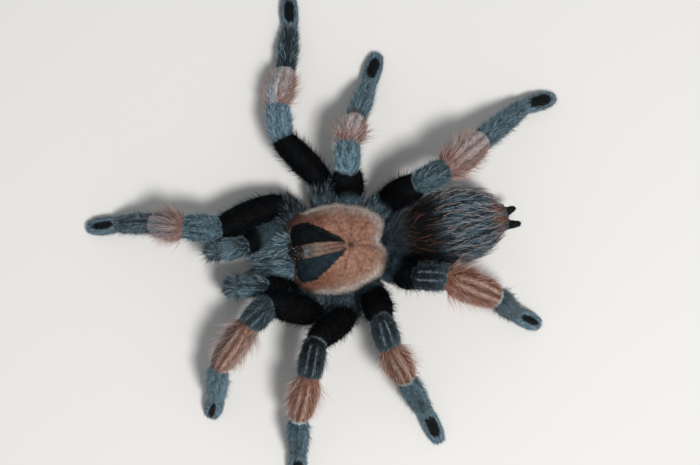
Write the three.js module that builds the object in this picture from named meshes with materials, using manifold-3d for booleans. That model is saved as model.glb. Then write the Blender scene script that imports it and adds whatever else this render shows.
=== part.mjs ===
// A life-size tarantula standing at rest, in millimetres: +Z up, its head towards -Y and its left side
// towards +X. Every solid has the outer shape of its body part with the hair on it. The origin is on the
// floor, under the middle of the whole animal's bounding box.
import * as THREE from "three";
import { mergeVertices } from "three/addons/utils/BufferGeometryUtils.js";
import Module from "manifold-3d";

const wasm = await Module();
wasm.setup();

const UP = new THREE.Vector3(0, 0, 1);
const FLOOR = 0;
const JOINT_GAP = 0.3; // clear length between two neighbouring pieces of a limb
const CONTACT_GAP = 0.1; // clear width round a piece that sits in or against another
const SOCKET_GAP = 0.04; // the same round an eye
const LIMB_SIDES = 10; // facets round a limb
const SMALL_SIDES = 8; // facets round a fang or a spinneret

// ---- Driving dimensions. The middle of the carapace is at x = 0, y = 0 here, and the floor at z = 0.
// Left half of the carapace's outline, from the middle of its front edge to the bay over the waist.
const CARAPACE_OUTLINE = [
  [0, -10.7],
  [4.4, -10.5],
  [7.2, -9.6],
  [8.6, -7.2],
  [9.5, -3.2],
  [9.6, 1.4],
  [8.1, 6.1],
  [6.0, 9.4],
  [3.9, 10.6],
  [2.0, 10.1],
  [0, 9.0],
];
const CARAPACE = {
  edge: 10.0, // height of the rim's upper face above the floor
  underside: 9.3,
  rise: 4.7, // of the dome above the rim
  headRise: 0.7, // extra height of the head region
  headMiddle: -5.5, // y of the head region's highest point
  headLength: 5.0,
  frontShoulder: 7, // the dome's exponents: steep in front, gently sloping at the sides and the rear
  rearShoulder: 2.5,
};
const MOUND = { middle: [0, -8.85, 13.6], radii: [1.7, 1.4, 1.6] };
const EYES = {
  front_median: { at: [0.43, -9.2], radii: [0.36, 0.36, 0.34] },
  front_lateral: { at: [1.12, -9.65], radii: [0.36, 0.46, 0.34] },
  rear_median: { at: [0.84, -8.5], radii: [0.24, 0.26, 0.24] },
  rear_lateral: { at: [1.3, -8.8], radii: [0.28, 0.38, 0.28] },
};
const UNDERBODY = { share: 0.82, shift: -1.3, sternum: 3.4, edge: 6.6, top: 9.0 };
const WAIST = { from: 7.9, to: 10.35, height: 7.4, diameters: [3.6, 2.8, 3.2] };

// The abdomen's rings from front to rear: x, y and height of the middle, width and height.
const ABDOMEN_RINGS = [
  [0, 10.5, 8.2, 2.6, 2.4],
  [-0.1, 11.6, 8.9, 7.2, 6.8],
  [-0.2, 14.0, 9.7, 11.2, 11.0],
  [-0.3, 18.0, 10.3, 14.4, 14.0],
  [-0.4, 22.5, 10.4, 16.6, 15.0],
  [-0.6, 27.0, 10.2, 17.0, 14.8],
  [-0.8, 31.0, 9.8, 15.2, 13.0],
  [-0.9, 34.0, 9.4, 11.4, 10.0],
  [-0.9, 36.2, 9.0, 6.0, 5.6],
  [-0.9, 36.9, 8.8, 2.4, 2.2],
];
const ABDOMEN_SIDES = 18;

// Jaws, fangs and spinnerets: points along the middle line, and the widths and heights there.
const JAW = {
  path: [[2.5, -10.95, 8.2], [2.55, -13.0, 8.4], [2.55, -15.2, 7.8], [2.4, -17.3, 6.4], [2.2, -18.6, 5.0]],
  widths: [4.6, 4.8, 4.7, 4.2, 2.6],
  heights: [6.8, 7.6, 7.2, 5.6, 3.0],
};
const FANG = {
  path: [[2.1, -18.0, 4.2], [2.05, -17.7, 2.7], [1.9, -16.2, 1.8], [1.7, -14.3, 1.7], [1.5, -12.5, 2.3]],
  diameters: [1.7, 1.6, 1.4, 1.0, 0.5],
};
const LONG_SPINNERETS = {
  right: [[-1.4, 34.6, 7.8], [-1.7, 36.2, 8.0], [-2.1, 37.7, 8.6], [-2.5, 39.0, 9.4]],
  left: [[0.5, 34.6, 7.8], [0.75, 36.4, 7.9], [0.95, 38.2, 8.3], [1.1, 39.8, 8.9]],
};
const LONG_SPINNERET_DIAMETERS = [2.0, 2.1, 1.9, 1.3];
const SHORT_SPINNERET = {
  path: [[0.55, 33.6, 5.6], [0.6, 34.9, 5.0], [0.65, 35.8, 4.7]],
  diameters: [1.2, 1.1, 0.7],
};

// ---- Limbs: where each leaves the breastplate, and the lengths and girths of its segments in order.
const LEG_SEGMENTS = ["coxa", "femur", "patella", "tibia", "metatarsus", "tarsus"];
const PALP_SEGMENTS = ["coxa", "femur", "patella", "tibia", "tarsus"];
const LIMBS = {
  leg_1: {
    root: [3.4, -5.2, 6.0],
    lengths: [10.4, 15.0, 8.9, 11.7, 9.9, 7.0],
    girths: [1, 1.06, 1, 1, 1, 1],
  },
  leg_2: {
    root: [4.3, -1.6, 6.0],
    lengths: [10.8, 13.7, 8.7, 10.6, 10.0, 7.2],
    girths: [1, 1, 0.97, 0.98, 1, 1],
  },
  leg_3: {
    root: [4.2, 2.2, 6.0],
    lengths: [8.2, 12.3, 7.9, 9.3, 11.7, 7.3],
    girths: [1, 1.04, 0.97, 1, 1, 1],
  },
  leg_4: {
    root: [3.4, 5.4, 6.0],
    lengths: [9.0, 14.6, 8.5, 12.5, 15.5, 7.8],
    girths: [1, 1.04, 1, 1.14, 1.04, 1],
  },
  palp: {
    root: [2.2, -7.6, 6.0],
    lengths: [7.0, 10.6, 6.4, 7.4, 7.6],
    girths: [0.86, 0.84, 0.84, 0.84, 0.88],
  },
};

// Width and height of each segment with its hair, and its outline: [share of the length, of the girth].
const SHAPES = {
  coxa: { size: [6.9, 5.6], outline: [[0, 0.75], [0.35, 0.92], [0.75, 1], [1, 0.9]] },
  femur: { size: [6.2, 6.4], outline: [[0, 0.74], [0.24, 1], [0.5, 1.04], [0.76, 1], [1, 0.86]] },
  patella: { size: [6.0, 5.8], outline: [[0, 0.86], [0.33, 1], [0.68, 1.02], [1, 0.9]] },
  tibia: { size: [6.0, 5.6], outline: [[0, 0.88], [0.28, 1.05], [0.7, 1], [1, 0.8]] },
  metatarsus: { size: [4.9, 4.4], outline: [[0, 0.94], [0.35, 1], [0.75, 0.9], [1, 0.86]] },
  tarsus: { size: [4.4, 3.5], outline: [[0, 0.92], [0.3, 1.02], [0.68, 1], [0.9, 0.84], [1, 0.5]] },
};
// The part of a tarsus that is pressed into the floor, and how far.
const PAD = { share: 0.9, fullness: 0.84, press: 0.25 };

// ---- The pose: [yaw, pitch] of each segment in degrees. Yaw 0 points straight out to the limb's own side
// and turns positive towards the tail; pitch is positive upwards. A tarsus has no pitch here: it slopes
// down to the floor.
const POSE = {
  right: {
    leg_1: [[-31, 11], [-106, 18], [-83, 30], [-69, -43], [-77, -41], [-85]],
    leg_2: [[6, 10], [-37, 17], [3, -20], [20, -26], [14, -15], [6]],
    leg_3: [[17, 9], [-5, 78], [11, -21], [26, -42], [27, -40], [25]],
    leg_4: [[53, 8], [83, 67], [69, -19], [58, -26], [58, -35], [80]],
    palp: [[-42, 10], [-118, 38], [-93, 8], [-38, -76], [-63]],
  },
  left: {
    leg_1: [[-11, 15], [-111, 51], [-58, -40], [-44, -4], [-15, -55], [-32]],
    leg_2: [[8, 13], [-61, 49], [-20, -14], [-24, -31], [-10, -42], [-14]],
    leg_3: [[28, 12], [3, 66], [8, -21], [20, -35], [23, -48], [17]],
    leg_4: [[66, 15], [12, 79], [77, 20], [61, -28], [53, -70], [59]],
    palp: [[-24, 13], [-112, 52], [-99, -15], [-107, -72], [-107]],
  },
};

// ---- Finishes.
const finish = (color, roughness) => new THREE.MeshStandardMaterial({ color, roughness, metalness: 0 });
const FINISH = {
  velvet: finish("#15171a", 0.9),
  slate: finish("#4d6670", 0.85),
  rose: finish("#a5705f", 0.85),
  carapace: finish("#b97a62", 0.8),
  abdomen: finish("#26303a", 0.85),
  eye: finish("#120d0c", 0.1),
  fang: finish("#100b0a", 0.25),
};
const SEGMENT_FINISH = { femur: "velvet", patella: "slate", tibia: "rose", foot: "slate", tarsus: "slate" };

const animal = new THREE.Group();

// Adds a mesh whose own origin is at the given point, where the part is joined to the rest.
function addPart(name, geometry, finishName, origin) {
  geometry.translate(-origin.x, -origin.y, -origin.z);
  const mesh = new THREE.Mesh(geometry, FINISH[finishName]);
  mesh.name = name;
  mesh.position.copy(origin);
  animal.add(mesh);
}

// ---- Solids.
function toSolid(geometry) {
  const bare = geometry.clone();
  bare.deleteAttribute("normal");
  bare.deleteAttribute("uv");
  const merged = mergeVertices(bare, 1e-4);
  const vertProperties = merged.attributes.position.array;
  const triVerts = new Uint32Array(merged.index.array);
  return new wasm.Manifold(new wasm.Mesh({ numProp: 3, vertProperties, triVerts }));
}

function toGeometry(solid) {
  const mesh = solid.getMesh();
  const geometry = new THREE.BufferGeometry();
  geometry.setAttribute("position", new THREE.BufferAttribute(mesh.vertProperties, 3));
  geometry.setIndex(new THREE.BufferAttribute(mesh.triVerts, 1));
  return geometry;
}

// The room that a part keeps clear for itself, by its name: its own shape, a little fuller.
const rooms = {};
const clearOf = (solid, ...names) => names.reduce((left, name) => left.subtract(rooms[name]), solid);

// A closed tube through rings { at, along, facing, width, height }: a unit cylinder with each of its rows
// put in place. A ring lies in the plane square to "facing"; seen down "along" it keeps its own size.
function tube(rings, sides = LIMB_SIDES, grow = 0) {
  const geometry = new THREE.CylinderGeometry(1, 1, 1, sides, rings.length - 1);
  const positions = geometry.attributes.position;
  const across = new THREE.Vector3();
  const upward = new THREE.Vector3();
  const offset = new THREE.Vector3();
  for (let i = 0; i < positions.count; i++) {
    const ring = rings[Math.round((positions.getY(i) + 0.5) * (rings.length - 1))];
    across.crossVectors(ring.along, UP).normalize();
    upward.crossVectors(across, ring.along);
    offset.copy(across).multiplyScalar(positions.getX(i) * (ring.width / 2 + grow));
    offset.addScaledVector(upward, positions.getZ(i) * (ring.height / 2 + grow));
    offset.addScaledVector(ring.along, -offset.dot(ring.facing) / ring.along.dot(ring.facing));
    offset.add(ring.at);
    positions.setXYZ(i, offset.x, offset.y, offset.z);
  }
  return geometry;
}

// Rings along a smooth curve through the given points, each square to the curve.
function ringsAlong(points, widths, heights) {
  const curve = new THREE.CatmullRomCurve3(points.map((point) => new THREE.Vector3(...point)));
  return points.map((_, i) => {
    const along = curve.getTangent(i / (points.length - 1));
    const at = curve.getPoint(i / (points.length - 1));
    return { at, along, facing: along, width: widths[i], height: heights[i] };
  });
}

const mirrored = (path, side) => path.map(([x, y, z]) => [side === "left" ? x : -x, y, z]);

// ---- Limbs.
function direction(side, yawDegrees, pitch) {
  const yaw = THREE.MathUtils.degToRad(yawDegrees);
  const out = side === "left" ? 1 : -1;
  const level = Math.cos(pitch);
  return new THREE.Vector3(out * level * Math.cos(yaw), level * Math.sin(yaw), Math.sin(pitch));
}

// The slope at which a tarsus that starts at the given height presses its pad into the floor.
function tarsusPitch(height, length, girth) {
  const padRadius = (SHAPES.tarsus.size[1] / 2) * girth * PAD.fullness;
  let pitch = 0;
  for (let round = 0; round < 6; round++) {
    const padMiddle = padRadius * Math.cos(pitch) - PAD.press;
    pitch = -Math.asin(THREE.MathUtils.clamp((height - padMiddle) / (length * PAD.share), -1, 1));
  }
  return pitch;
}

// The joints of a limb from its root to its tip, and the direction of each segment between them.
function skeleton(side, limb) {
  const { root, lengths, girths } = LIMBS[limb];
  const joints = [new THREE.Vector3(...mirrored([root], side)[0])];
  const directions = POSE[side][limb].map(([yaw, pitchDegrees], i) => {
    const isTarsus = pitchDegrees === undefined;
    const pitch = isTarsus
      ? tarsusPitch(joints[i].z, lengths[i], girths[i])
      : THREE.MathUtils.degToRad(pitchDegrees);
    const along = direction(side, yaw, pitch);
    joints.push(joints[i].clone().addScaledVector(along, lengths[i]));
    return along;
  });
  return { joints, directions };
}

// The rings of one segment. At a joint a ring faces midway between the two segments, and further off it
// turns gradually back to face along its own.
function segmentRings(limb, segment, index, bones, gaps = [JOINT_GAP / 2, JOINT_GAP / 2]) {
  const along = bones.directions[index];
  const atStart = (bones.directions[index - 1] ?? along).clone().add(along).normalize();
  const atEnd = (bones.directions[index + 1] ?? along).clone().add(along).normalize();
  const { size, outline } = SHAPES[segment];
  return outline.map(([share, fullness]) => {
    const facing = along.clone();
    facing.lerp(share < 0.5 ? atStart : atEnd, Math.abs(1 - 2 * share)).normalize();
    const distance = THREE.MathUtils.lerp(gaps[0], LIMBS[limb].lengths[index] - gaps[1], share);
    const at = bones.joints[index].clone().addScaledVector(along, distance);
    const girth = LIMBS[limb].girths[index] * fullness;
    return { at, along, facing, width: size[0] * girth, height: size[1] * girth };
  });
}

// Two segments as one bent piece: the ring at their common joint is shared.
function bentRings(limb, segments, index, bones) {
  const first = segmentRings(limb, segments[0], index, bones, [JOINT_GAP / 2, 0]);
  const second = segmentRings(limb, segments[1], index + 1, bones, [0, JOINT_GAP / 2]);
  return [...first.slice(0, -1), ...second];
}

// ---- Chelicerae and fangs: the jaws stand out in front of the carapace, the fangs fold back below them.
const SIDES = ["right", "left"];
for (const side of SIDES) {
  const jawPath = mirrored(JAW.path, side);
  const jawRings = ringsAlong(jawPath, JAW.widths, JAW.heights);
  rooms[`chelicera_${side}`] = toSolid(tube(jawRings, LIMB_SIDES, CONTACT_GAP));
  addPart(`chelicera_${side}`, tube(jawRings), "slate", new THREE.Vector3(...jawPath[0]));
  const fangPath = mirrored(FANG.path, side);
  const fullFang = toSolid(tube(ringsAlong(fangPath, FANG.diameters, FANG.diameters), SMALL_SIDES));
  const fang = clearOf(fullFang, `chelicera_${side}`);
  addPart(`fang_${side}`, toGeometry(fang), "fang", new THREE.Vector3(...fangPath[0]));
}

// ---- Legs and palps. A palp gives way where it is pressed between its chelicera and the first leg.
const coxae = [];
for (const side of SIDES) {
  for (const limb of Object.keys(LIMBS)) {
    const isPalp = limb === "palp";
    const segments = isPalp ? PALP_SEGMENTS : LEG_SEGMENTS;
    const neighbours = isPalp ? [`leg_1_${side}_femur`, `leg_1_${side}_patella`, `chelicera_${side}`] : [];
    const bones = skeleton(side, limb);
    const add = (piece, first, second) => {
      const name = `${limb}_${side}_${piece}`;
      const index = segments.indexOf(first);
      const rings = second
        ? bentRings(limb, [first, second], index, bones)
        : segmentRings(limb, first, index, bones);
      rooms[name] = toSolid(tube(rings, LIMB_SIDES, CONTACT_GAP));
      const solid = clearOf(toSolid(tube(rings)), ...neighbours).trimByPlane([0, 0, 1], FLOOR);
      addPart(name, toGeometry(solid), SEGMENT_FINISH[piece], bones.joints[index]);
    };
    const coxaRings = segmentRings(limb, "coxa", 0, bones);
    coxae.push(toSolid(tube(coxaRings)));
    rooms[`${limb}_${side}_coxa`] = toSolid(tube(coxaRings, LIMB_SIDES, CONTACT_GAP));
    add("femur", "femur");
    add("patella", "patella");
    add("tibia", "tibia");
    if (isPalp) add("tarsus", "tarsus");
    else add("foot", "metatarsus", "tarsus");
  }
}

// ---- Carapace and underbody: plates whose every level is the carapace's outline, drawn in to the middle.
const outlineRight = CARAPACE_OUTLINE.slice(1, -1).reverse().map(([x, y]) => [-x, y]);
const outlinePoints = [...CARAPACE_OUTLINE, ...outlineRight].map(([x, y]) => new THREE.Vector3(x, y, 0));
const carapaceOutline = new THREE.CatmullRomCurve3(outlinePoints, true);

// A closed plate: a sphere's rows become the outline shrunk to a share, at the height the function gives.
function plate(columns, rows, heightAt) {
  const geometry = new THREE.SphereGeometry(1, columns, rows).rotateX(Math.PI / 2);
  const { position, uv } = geometry.attributes;
  for (let i = 0; i < position.count; i++) {
    const share = Math.min(1, Math.hypot(position.getX(i), position.getY(i)));
    const edge = carapaceOutline.getPoint(THREE.MathUtils.clamp(uv.getX(i), 0, 1));
    const isUpper = position.getZ(i) > -1e-6;
    position.setXYZ(i, edge.x * share, edge.y * share, heightAt(share, edge, isUpper));
  }
  return geometry;
}

function domeHeight(share, edge) {
  const frontness = Math.max(0, -edge.y / edge.length()) ** 3;
  const shoulder = THREE.MathUtils.lerp(CARAPACE.rearShoulder, CARAPACE.frontShoulder, frontness);
  const fromHead = (edge.y * share - CARAPACE.headMiddle) / CARAPACE.headLength;
  const rise = CARAPACE.rise + CARAPACE.headRise * Math.exp(-(fromHead ** 2));
  return CARAPACE.edge + rise * (1 - share ** shoulder);
}

const dome = plate(28, 12, (share, edge, isUpper) =>
  isUpper ? domeHeight(share, edge) : CARAPACE.underside,
);
const mound = new THREE.SphereGeometry(1, 14, 10).rotateX(Math.PI / 2);
mound.scale(...MOUND.radii).translate(...MOUND.middle);
let carapace = toSolid(dome).add(toSolid(mound));

// ---- Eyes: four pairs in sockets on a small mound near the carapace's front edge.
for (const [name, { at, radii }] of Object.entries(EYES)) {
  const across = at[0] / MOUND.radii[0];
  const along = (at[1] - MOUND.middle[1]) / MOUND.radii[1];
  const height = MOUND.middle[2] + MOUND.radii[2] * Math.sqrt(1 - across ** 2 - along ** 2);
  for (const side of SIDES) {
    const middle = new THREE.Vector3(...mirrored([[...at, height]], side)[0]);
    const ball = (grow) => {
      const geometry = new THREE.SphereGeometry(1, 8, 6).scale(...radii.map((radius) => radius + grow));
      return geometry.translate(...middle);
    };
    carapace = carapace.subtract(toSolid(ball(SOCKET_GAP)));
    addPart(`eye_${name}_${side}`, ball(0), "eye", middle);
  }
}
addPart("carapace", toGeometry(carapace), "carapace", new THREE.Vector3(0, 0, CARAPACE.underside));

// ---- Waist.
const waistPath = [WAIST.from, (WAIST.from + WAIST.to) / 2, WAIST.to].map((y) => [0, y, WAIST.height]);
const waistRings = ringsAlong(waistPath, WAIST.diameters, WAIST.diameters);
rooms.waist = toSolid(tube(waistRings, LIMB_SIDES, CONTACT_GAP));
addPart("waist", tube(waistRings), "slate", new THREE.Vector3(...waistPath[0]));

// ---- Underside: breastplate and the ten coxae that radiate from it, in one piece below the carapace.
const underbody = plate(18, 6, (share, edge, isUpper) =>
  isUpper ? UNDERBODY.top : THREE.MathUtils.lerp(UNDERBODY.sternum, UNDERBODY.edge, share ** 3),
);
underbody.scale(UNDERBODY.share, UNDERBODY.share, 1).translate(0, UNDERBODY.shift, 0);
rooms.carapace = toSolid(dome.clone().scale(1.01, 1.01, 1).translate(0, 0, -CONTACT_GAP));
const joined = coxae.reduce((solid, coxa) => solid.add(coxa), toSolid(underbody));
const femora = Object.keys(rooms).filter((name) => name.endsWith("femur"));
const prosoma = clearOf(joined, "carapace", "chelicera_right", "chelicera_left", "waist", ...femora);
addPart("prosoma", toGeometry(prosoma), "slate", new THREE.Vector3(0, 0, UNDERBODY.sternum));

// ---- Abdomen and spinnerets. The abdomen gives way to the bases of the last legs.
const abdomenRings = ABDOMEN_RINGS.map(([x, y, z, width, height]) => {
  const along = new THREE.Vector3(0, 1, 0);
  return { at: new THREE.Vector3(x, y, z), along, facing: along, width, height };
});
rooms.abdomen = toSolid(tube(abdomenRings, ABDOMEN_SIDES, CONTACT_GAP));
const legBases = SIDES.flatMap((side) => [`leg_4_${side}_femur`, `leg_4_${side}_coxa`]);
const abdomen = clearOf(toSolid(tube(abdomenRings, ABDOMEN_SIDES)), ...legBases);
addPart("abdomen", toGeometry(abdomen), "abdomen", abdomenRings[0].at.clone());

function addSpinneret(name, path, diameters) {
  const spinneret = toSolid(tube(ringsAlong(path, diameters, diameters), SMALL_SIDES));
  addPart(name, toGeometry(clearOf(spinneret, "abdomen")), "velvet", new THREE.Vector3(...path[1]));
}
for (const side of SIDES) {
  addSpinneret(`spinneret_long_${side}`, LONG_SPINNERETS[side], LONG_SPINNERET_DIAMETERS);
  addSpinneret(`spinneret_short_${side}`, mirrored(SHORT_SPINNERET.path, side), SHORT_SPINNERET.diameters);
}

// ---- The origin goes under the middle of the whole.
const middle = new THREE.Box3().setFromObject(animal, true).getCenter(new THREE.Vector3());
for (const mesh of animal.children) mesh.position.sub(new THREE.Vector3(middle.x, middle.y, 0));

export default animal;
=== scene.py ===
"""Dresses the still tarantula: one skin under the hair, a velvety carapace, eyes and a coat of solid hairs.

The CAD solids reach out to the tips of the hair. Each body part's middle line and girth are measured on its
solid, the skin is lofted inside them by the depth of the coat, and the hairs grow from the skin. Lengths are
in millimetres here and become metres when a mesh is made. Eyes, camera, floor and lamp are in metres.
"""

import math
from collections import namedtuple

import bpy
import numpy as np
from mathutils import Matrix, Vector


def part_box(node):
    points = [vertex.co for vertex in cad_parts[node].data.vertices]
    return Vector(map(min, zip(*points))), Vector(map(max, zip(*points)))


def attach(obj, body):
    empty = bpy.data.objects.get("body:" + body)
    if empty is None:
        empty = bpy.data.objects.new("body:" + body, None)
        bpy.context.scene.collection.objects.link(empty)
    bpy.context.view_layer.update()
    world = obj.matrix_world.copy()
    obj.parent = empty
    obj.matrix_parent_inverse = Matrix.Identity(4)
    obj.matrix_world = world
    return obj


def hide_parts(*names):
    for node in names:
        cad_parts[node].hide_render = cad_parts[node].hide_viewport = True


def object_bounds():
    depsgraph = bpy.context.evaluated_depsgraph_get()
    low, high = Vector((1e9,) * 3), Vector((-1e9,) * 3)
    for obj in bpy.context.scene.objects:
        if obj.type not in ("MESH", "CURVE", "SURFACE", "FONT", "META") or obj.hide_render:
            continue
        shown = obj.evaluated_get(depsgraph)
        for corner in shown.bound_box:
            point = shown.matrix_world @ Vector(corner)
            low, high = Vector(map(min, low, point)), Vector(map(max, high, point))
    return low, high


MM = 0.001
UP = np.array([0.0, 0.0, 1.0])
BACK = np.array([0.0, 1.0, 0.0])  # towards the tail
SIDES = {"right": -1.0, "left": 1.0}
LIMBS = ("palp", "leg_1", "leg_2", "leg_3", "leg_4")
PALP = 0
EYES = ("front_median", "front_lateral", "rear_median", "rear_lateral")
RANDOM = np.random.default_rng(20)

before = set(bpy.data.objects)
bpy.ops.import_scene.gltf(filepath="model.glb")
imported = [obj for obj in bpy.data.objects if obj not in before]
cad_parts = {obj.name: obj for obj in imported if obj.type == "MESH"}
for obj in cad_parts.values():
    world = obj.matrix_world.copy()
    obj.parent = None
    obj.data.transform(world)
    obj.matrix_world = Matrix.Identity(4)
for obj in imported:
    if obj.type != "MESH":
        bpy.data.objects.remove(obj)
cad_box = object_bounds()


# ---- Reading the frame.
def mesh_arrays(mesh):
    """A mesh's corners in millimetres, its normals there and its triangles."""
    points = np.empty(len(mesh.vertices) * 3)
    mesh.vertices.foreach_get("co", points)
    normals = np.empty(len(mesh.vertices) * 3)
    mesh.vertices.foreach_get("normal", normals)
    mesh.calc_loop_triangles()
    triangles = np.empty(len(mesh.loop_triangles) * 3, int)
    mesh.loop_triangles.foreach_get("vertices", triangles)
    return points.reshape(-1, 3) / MM, normals.reshape(-1, 3), triangles.reshape(-1, 3)


def node_mesh(name):
    """The corners of a CAD node, in millimetres, and its triangles."""
    points, _, triangles = mesh_arrays(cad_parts[name].data)
    return points, triangles


def node_box(name):
    """The lowest and the highest corner of a CAD node's box, in millimetres."""
    low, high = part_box(name)
    return np.array(low) / MM, np.array(high) / MM


def unit(vectors):
    vectors = np.asarray(vectors, float)
    return vectors / np.maximum(np.linalg.norm(vectors, axis=-1, keepdims=True), 1e-9)


SAME_FACE = {"facing": 0.9998, "offset": 0.01}  # the least cosine and the most millimetres between planes


def flat_faces(name):
    """For each triangle of a node, the middle and area of its flat face and the triangles that share it."""
    points, triangles = node_mesh(name)
    corners = points[triangles]
    cross = np.cross(corners[:, 1] - corners[:, 0], corners[:, 2] - corners[:, 0])
    area = np.linalg.norm(cross, axis=1) / 2
    normal = unit(cross)
    middle = corners.mean(axis=1)
    offset = (normal * middle).sum(axis=1)
    same = normal @ normal.T > SAME_FACE["facing"]
    same &= np.abs(offset[:, None] - offset[None, :]) < SAME_FACE["offset"]
    total = same @ area
    middles = (same @ (middle * area[:, None])) / np.maximum(total, 1e-9)[:, None]
    return middles, total, same


def end_caps(name, start):
    """The middles of the two flat ends of a tube-like node, first the one that is nearer to a point."""
    middles, total, same = flat_faces(name)
    first = np.argmax(total)
    second = np.argmax(total * ~same[first])
    return sorted((middles[first], middles[second]), key=lambda cap: np.linalg.norm(cap - start))


SMALLEST_TIP = 0.8  # square millimetres


def farthest_face(name, start):
    """The middle of the flat face, not too small, that lies farthest from a point."""
    middles, total, _ = flat_faces(name)
    distance = np.linalg.norm(middles - start, axis=1)
    return middles[np.argmax(distance * (total > SMALLEST_TIP))]


def axes_of(along):
    """A direction with the level direction across it and the one above it."""
    across = unit(np.cross(along, UP))
    return along, across, np.cross(across, along)


def section(name, at, along, reach=6.0):
    """The middle, half width and half height of a node's slice through a point, square to a direction."""
    points, triangles = node_mesh(name)
    edges = np.unique(np.sort(triangles[:, [0, 1, 1, 2, 2, 0]].reshape(-1, 2), axis=1), axis=0)
    depth = (points - at) @ along
    start, end = depth[edges].T
    crossing = (start < 0) != (end < 0)
    share = start[crossing] / (start[crossing] - end[crossing])
    cut = points[edges[crossing, 0]] * (1 - share[:, None]) + points[edges[crossing, 1]] * share[:, None]
    cut = cut[np.linalg.norm(cut - at, axis=1) < reach]
    if len(cut) < 3:
        return None
    _, across, upward = axes_of(along)
    wide = (cut - at) @ across
    high = (cut - at) @ upward
    middle = at + across * (wide.max() + wide.min()) / 2 + upward * (high.max() + high.min()) / 2
    return middle, np.ptp(wide) / 2, np.ptp(high) / 2


# ---- Bones: straight pieces of the middle lines, with the solid's girth at shares of their length.
COAT_DEPTH = {
    "coxa": 0.3, "femur": 0.25, "patella": 0.25, "tibia": 0.3, "metatarsus": 0.25, "tarsus": 0.18,
    "abdomen": 0.4, "jaw": 0.3, "waist": 0.2, "spinneret": 0.0, "breast": 0.3,
}
# Where the limbs leave the breast, in shares of the carapace's half width and half length, and how high.
ROOTS = {
    "leg_1": (0.35, -0.49), "leg_2": (0.45, -0.15), "leg_3": (0.44, 0.21), "leg_4": (0.35, 0.50),
    "palp": (0.23, -0.71),
}
ROOT_HEIGHT = 0.6  # of the carapace's lower edge
COXA_GIRTH = {"leg": np.array([3.3, 2.75]), "palp": np.array([2.8, 2.3])}
COXA_SHARES = (0, 0.4, 0.75, 1)
COXA_SWELL = np.array([0.75, 0.92, 1, 0.9])  # of the girth, at these shares
METATARSUS_SHARE = {"leg_1": 0.586, "leg_2": 0.580, "leg_3": 0.616, "leg_4": 0.665}
MEASURED_SHARES = (0.1, 0.25, 0.4, 0.55, 0.7, 0.85, 0.93)
BODY_REACH = (0.04, 0.96)  # the shares of a body part between which it is sliced
BODY_SKIN_REACH = (0.04, 0.97)  # and those between which its skin's rings lie
FOOT_FIT = {"rounds": 6, "share": 0.7}  # how often, and where, a metatarsus's middle is looked for

# How far before its joint a segment's hair begins, in millimetres, on the palp and legs 1 to 4.
NO_PARTING = {"right": (0, 0, 0, 0, 0), "left": (0, 0, 0, 0, 0)}
PARTING = {
    "patella": {"right": (0, -1.0, 0, 0, 0), "left": (0, 0, 0, 0, -1.4)},
    "tibia": {"right": (0.8, -0.1, 1.1, 1.3, 1.0), "left": (0.8, 0.9, 0.9, 1.0, 0.8)},
    "metatarsus": {"right": (0, 1.9, 1.2, 1.7, 1.1), "left": (0, 0.3, 0.1, 0.1, 0.1)},
}

carapace_low, carapace_high = node_box("carapace")
carapace_middle = (carapace_low + carapace_high) / 2
carapace_half = (carapace_high - carapace_low) / 2


def bone(kind, start, end, shares, half_widths, half_heights, limb=0, side=0.0):
    """A straight piece of a middle line. Its limb is a number in LIMBS, and 0 on the body too."""
    length = np.linalg.norm(end - start)
    along, across, upward = axes_of((end - start) / length)
    return dict(
        kind=kind, start=start, end=end, length=length, along=along, across=across, upward=upward,
        shares=np.array(shares), wide=np.array(half_widths), high=np.array(half_heights),
        limb=limb, side=side, lie=along, jointed=(False, False),
        start_plane=along, end_plane=along, start_at=start, end_at=end,
    )


def measured_bone(kind, node, start, end, limb, side):
    """A bone whose girth is measured on its node at several shares of the length."""
    along = unit(end - start)
    rows = []
    for share in MEASURED_SHARES:
        found = section(node, start + (end - start) * share, along)
        if found is not None:
            rows.append((share, *found[1:]))
    return bone(kind, start, end, *zip(*rows), limb, side)


def foot_bend(node, start, tip, share):
    """Where a foot's metatarsus ends: it runs straight on from the start for its share of the length."""
    along = unit(tip - start)
    length = np.linalg.norm(tip - start)
    for _ in range(FOOT_FIT["rounds"]):
        found = section(node, start + along * length * share * FOOT_FIT["share"], along)
        along = unit(found[0] - start)
        bend = start + along * length * share
        length = np.linalg.norm(bend - start) + np.linalg.norm(tip - bend)
    return start + along * length * share


def linked(bones, side_name):
    """Sets the planes that part neighbouring bones' hair: they halve the bends, near the joints."""
    for first, second in zip(bones, bones[1:]):
        plane = unit(first["along"] + second["along"])
        before = PARTING.get(second["kind"], NO_PARTING)[side_name][second["limb"]]
        first["end_at"] = second["start_at"] = second["start"] - plane * before
        first["end_plane"], second["start_plane"] = plane, plane
        first["jointed"] = (first["jointed"][0], True)
        second["jointed"] = (True, False)
    return bones


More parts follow.
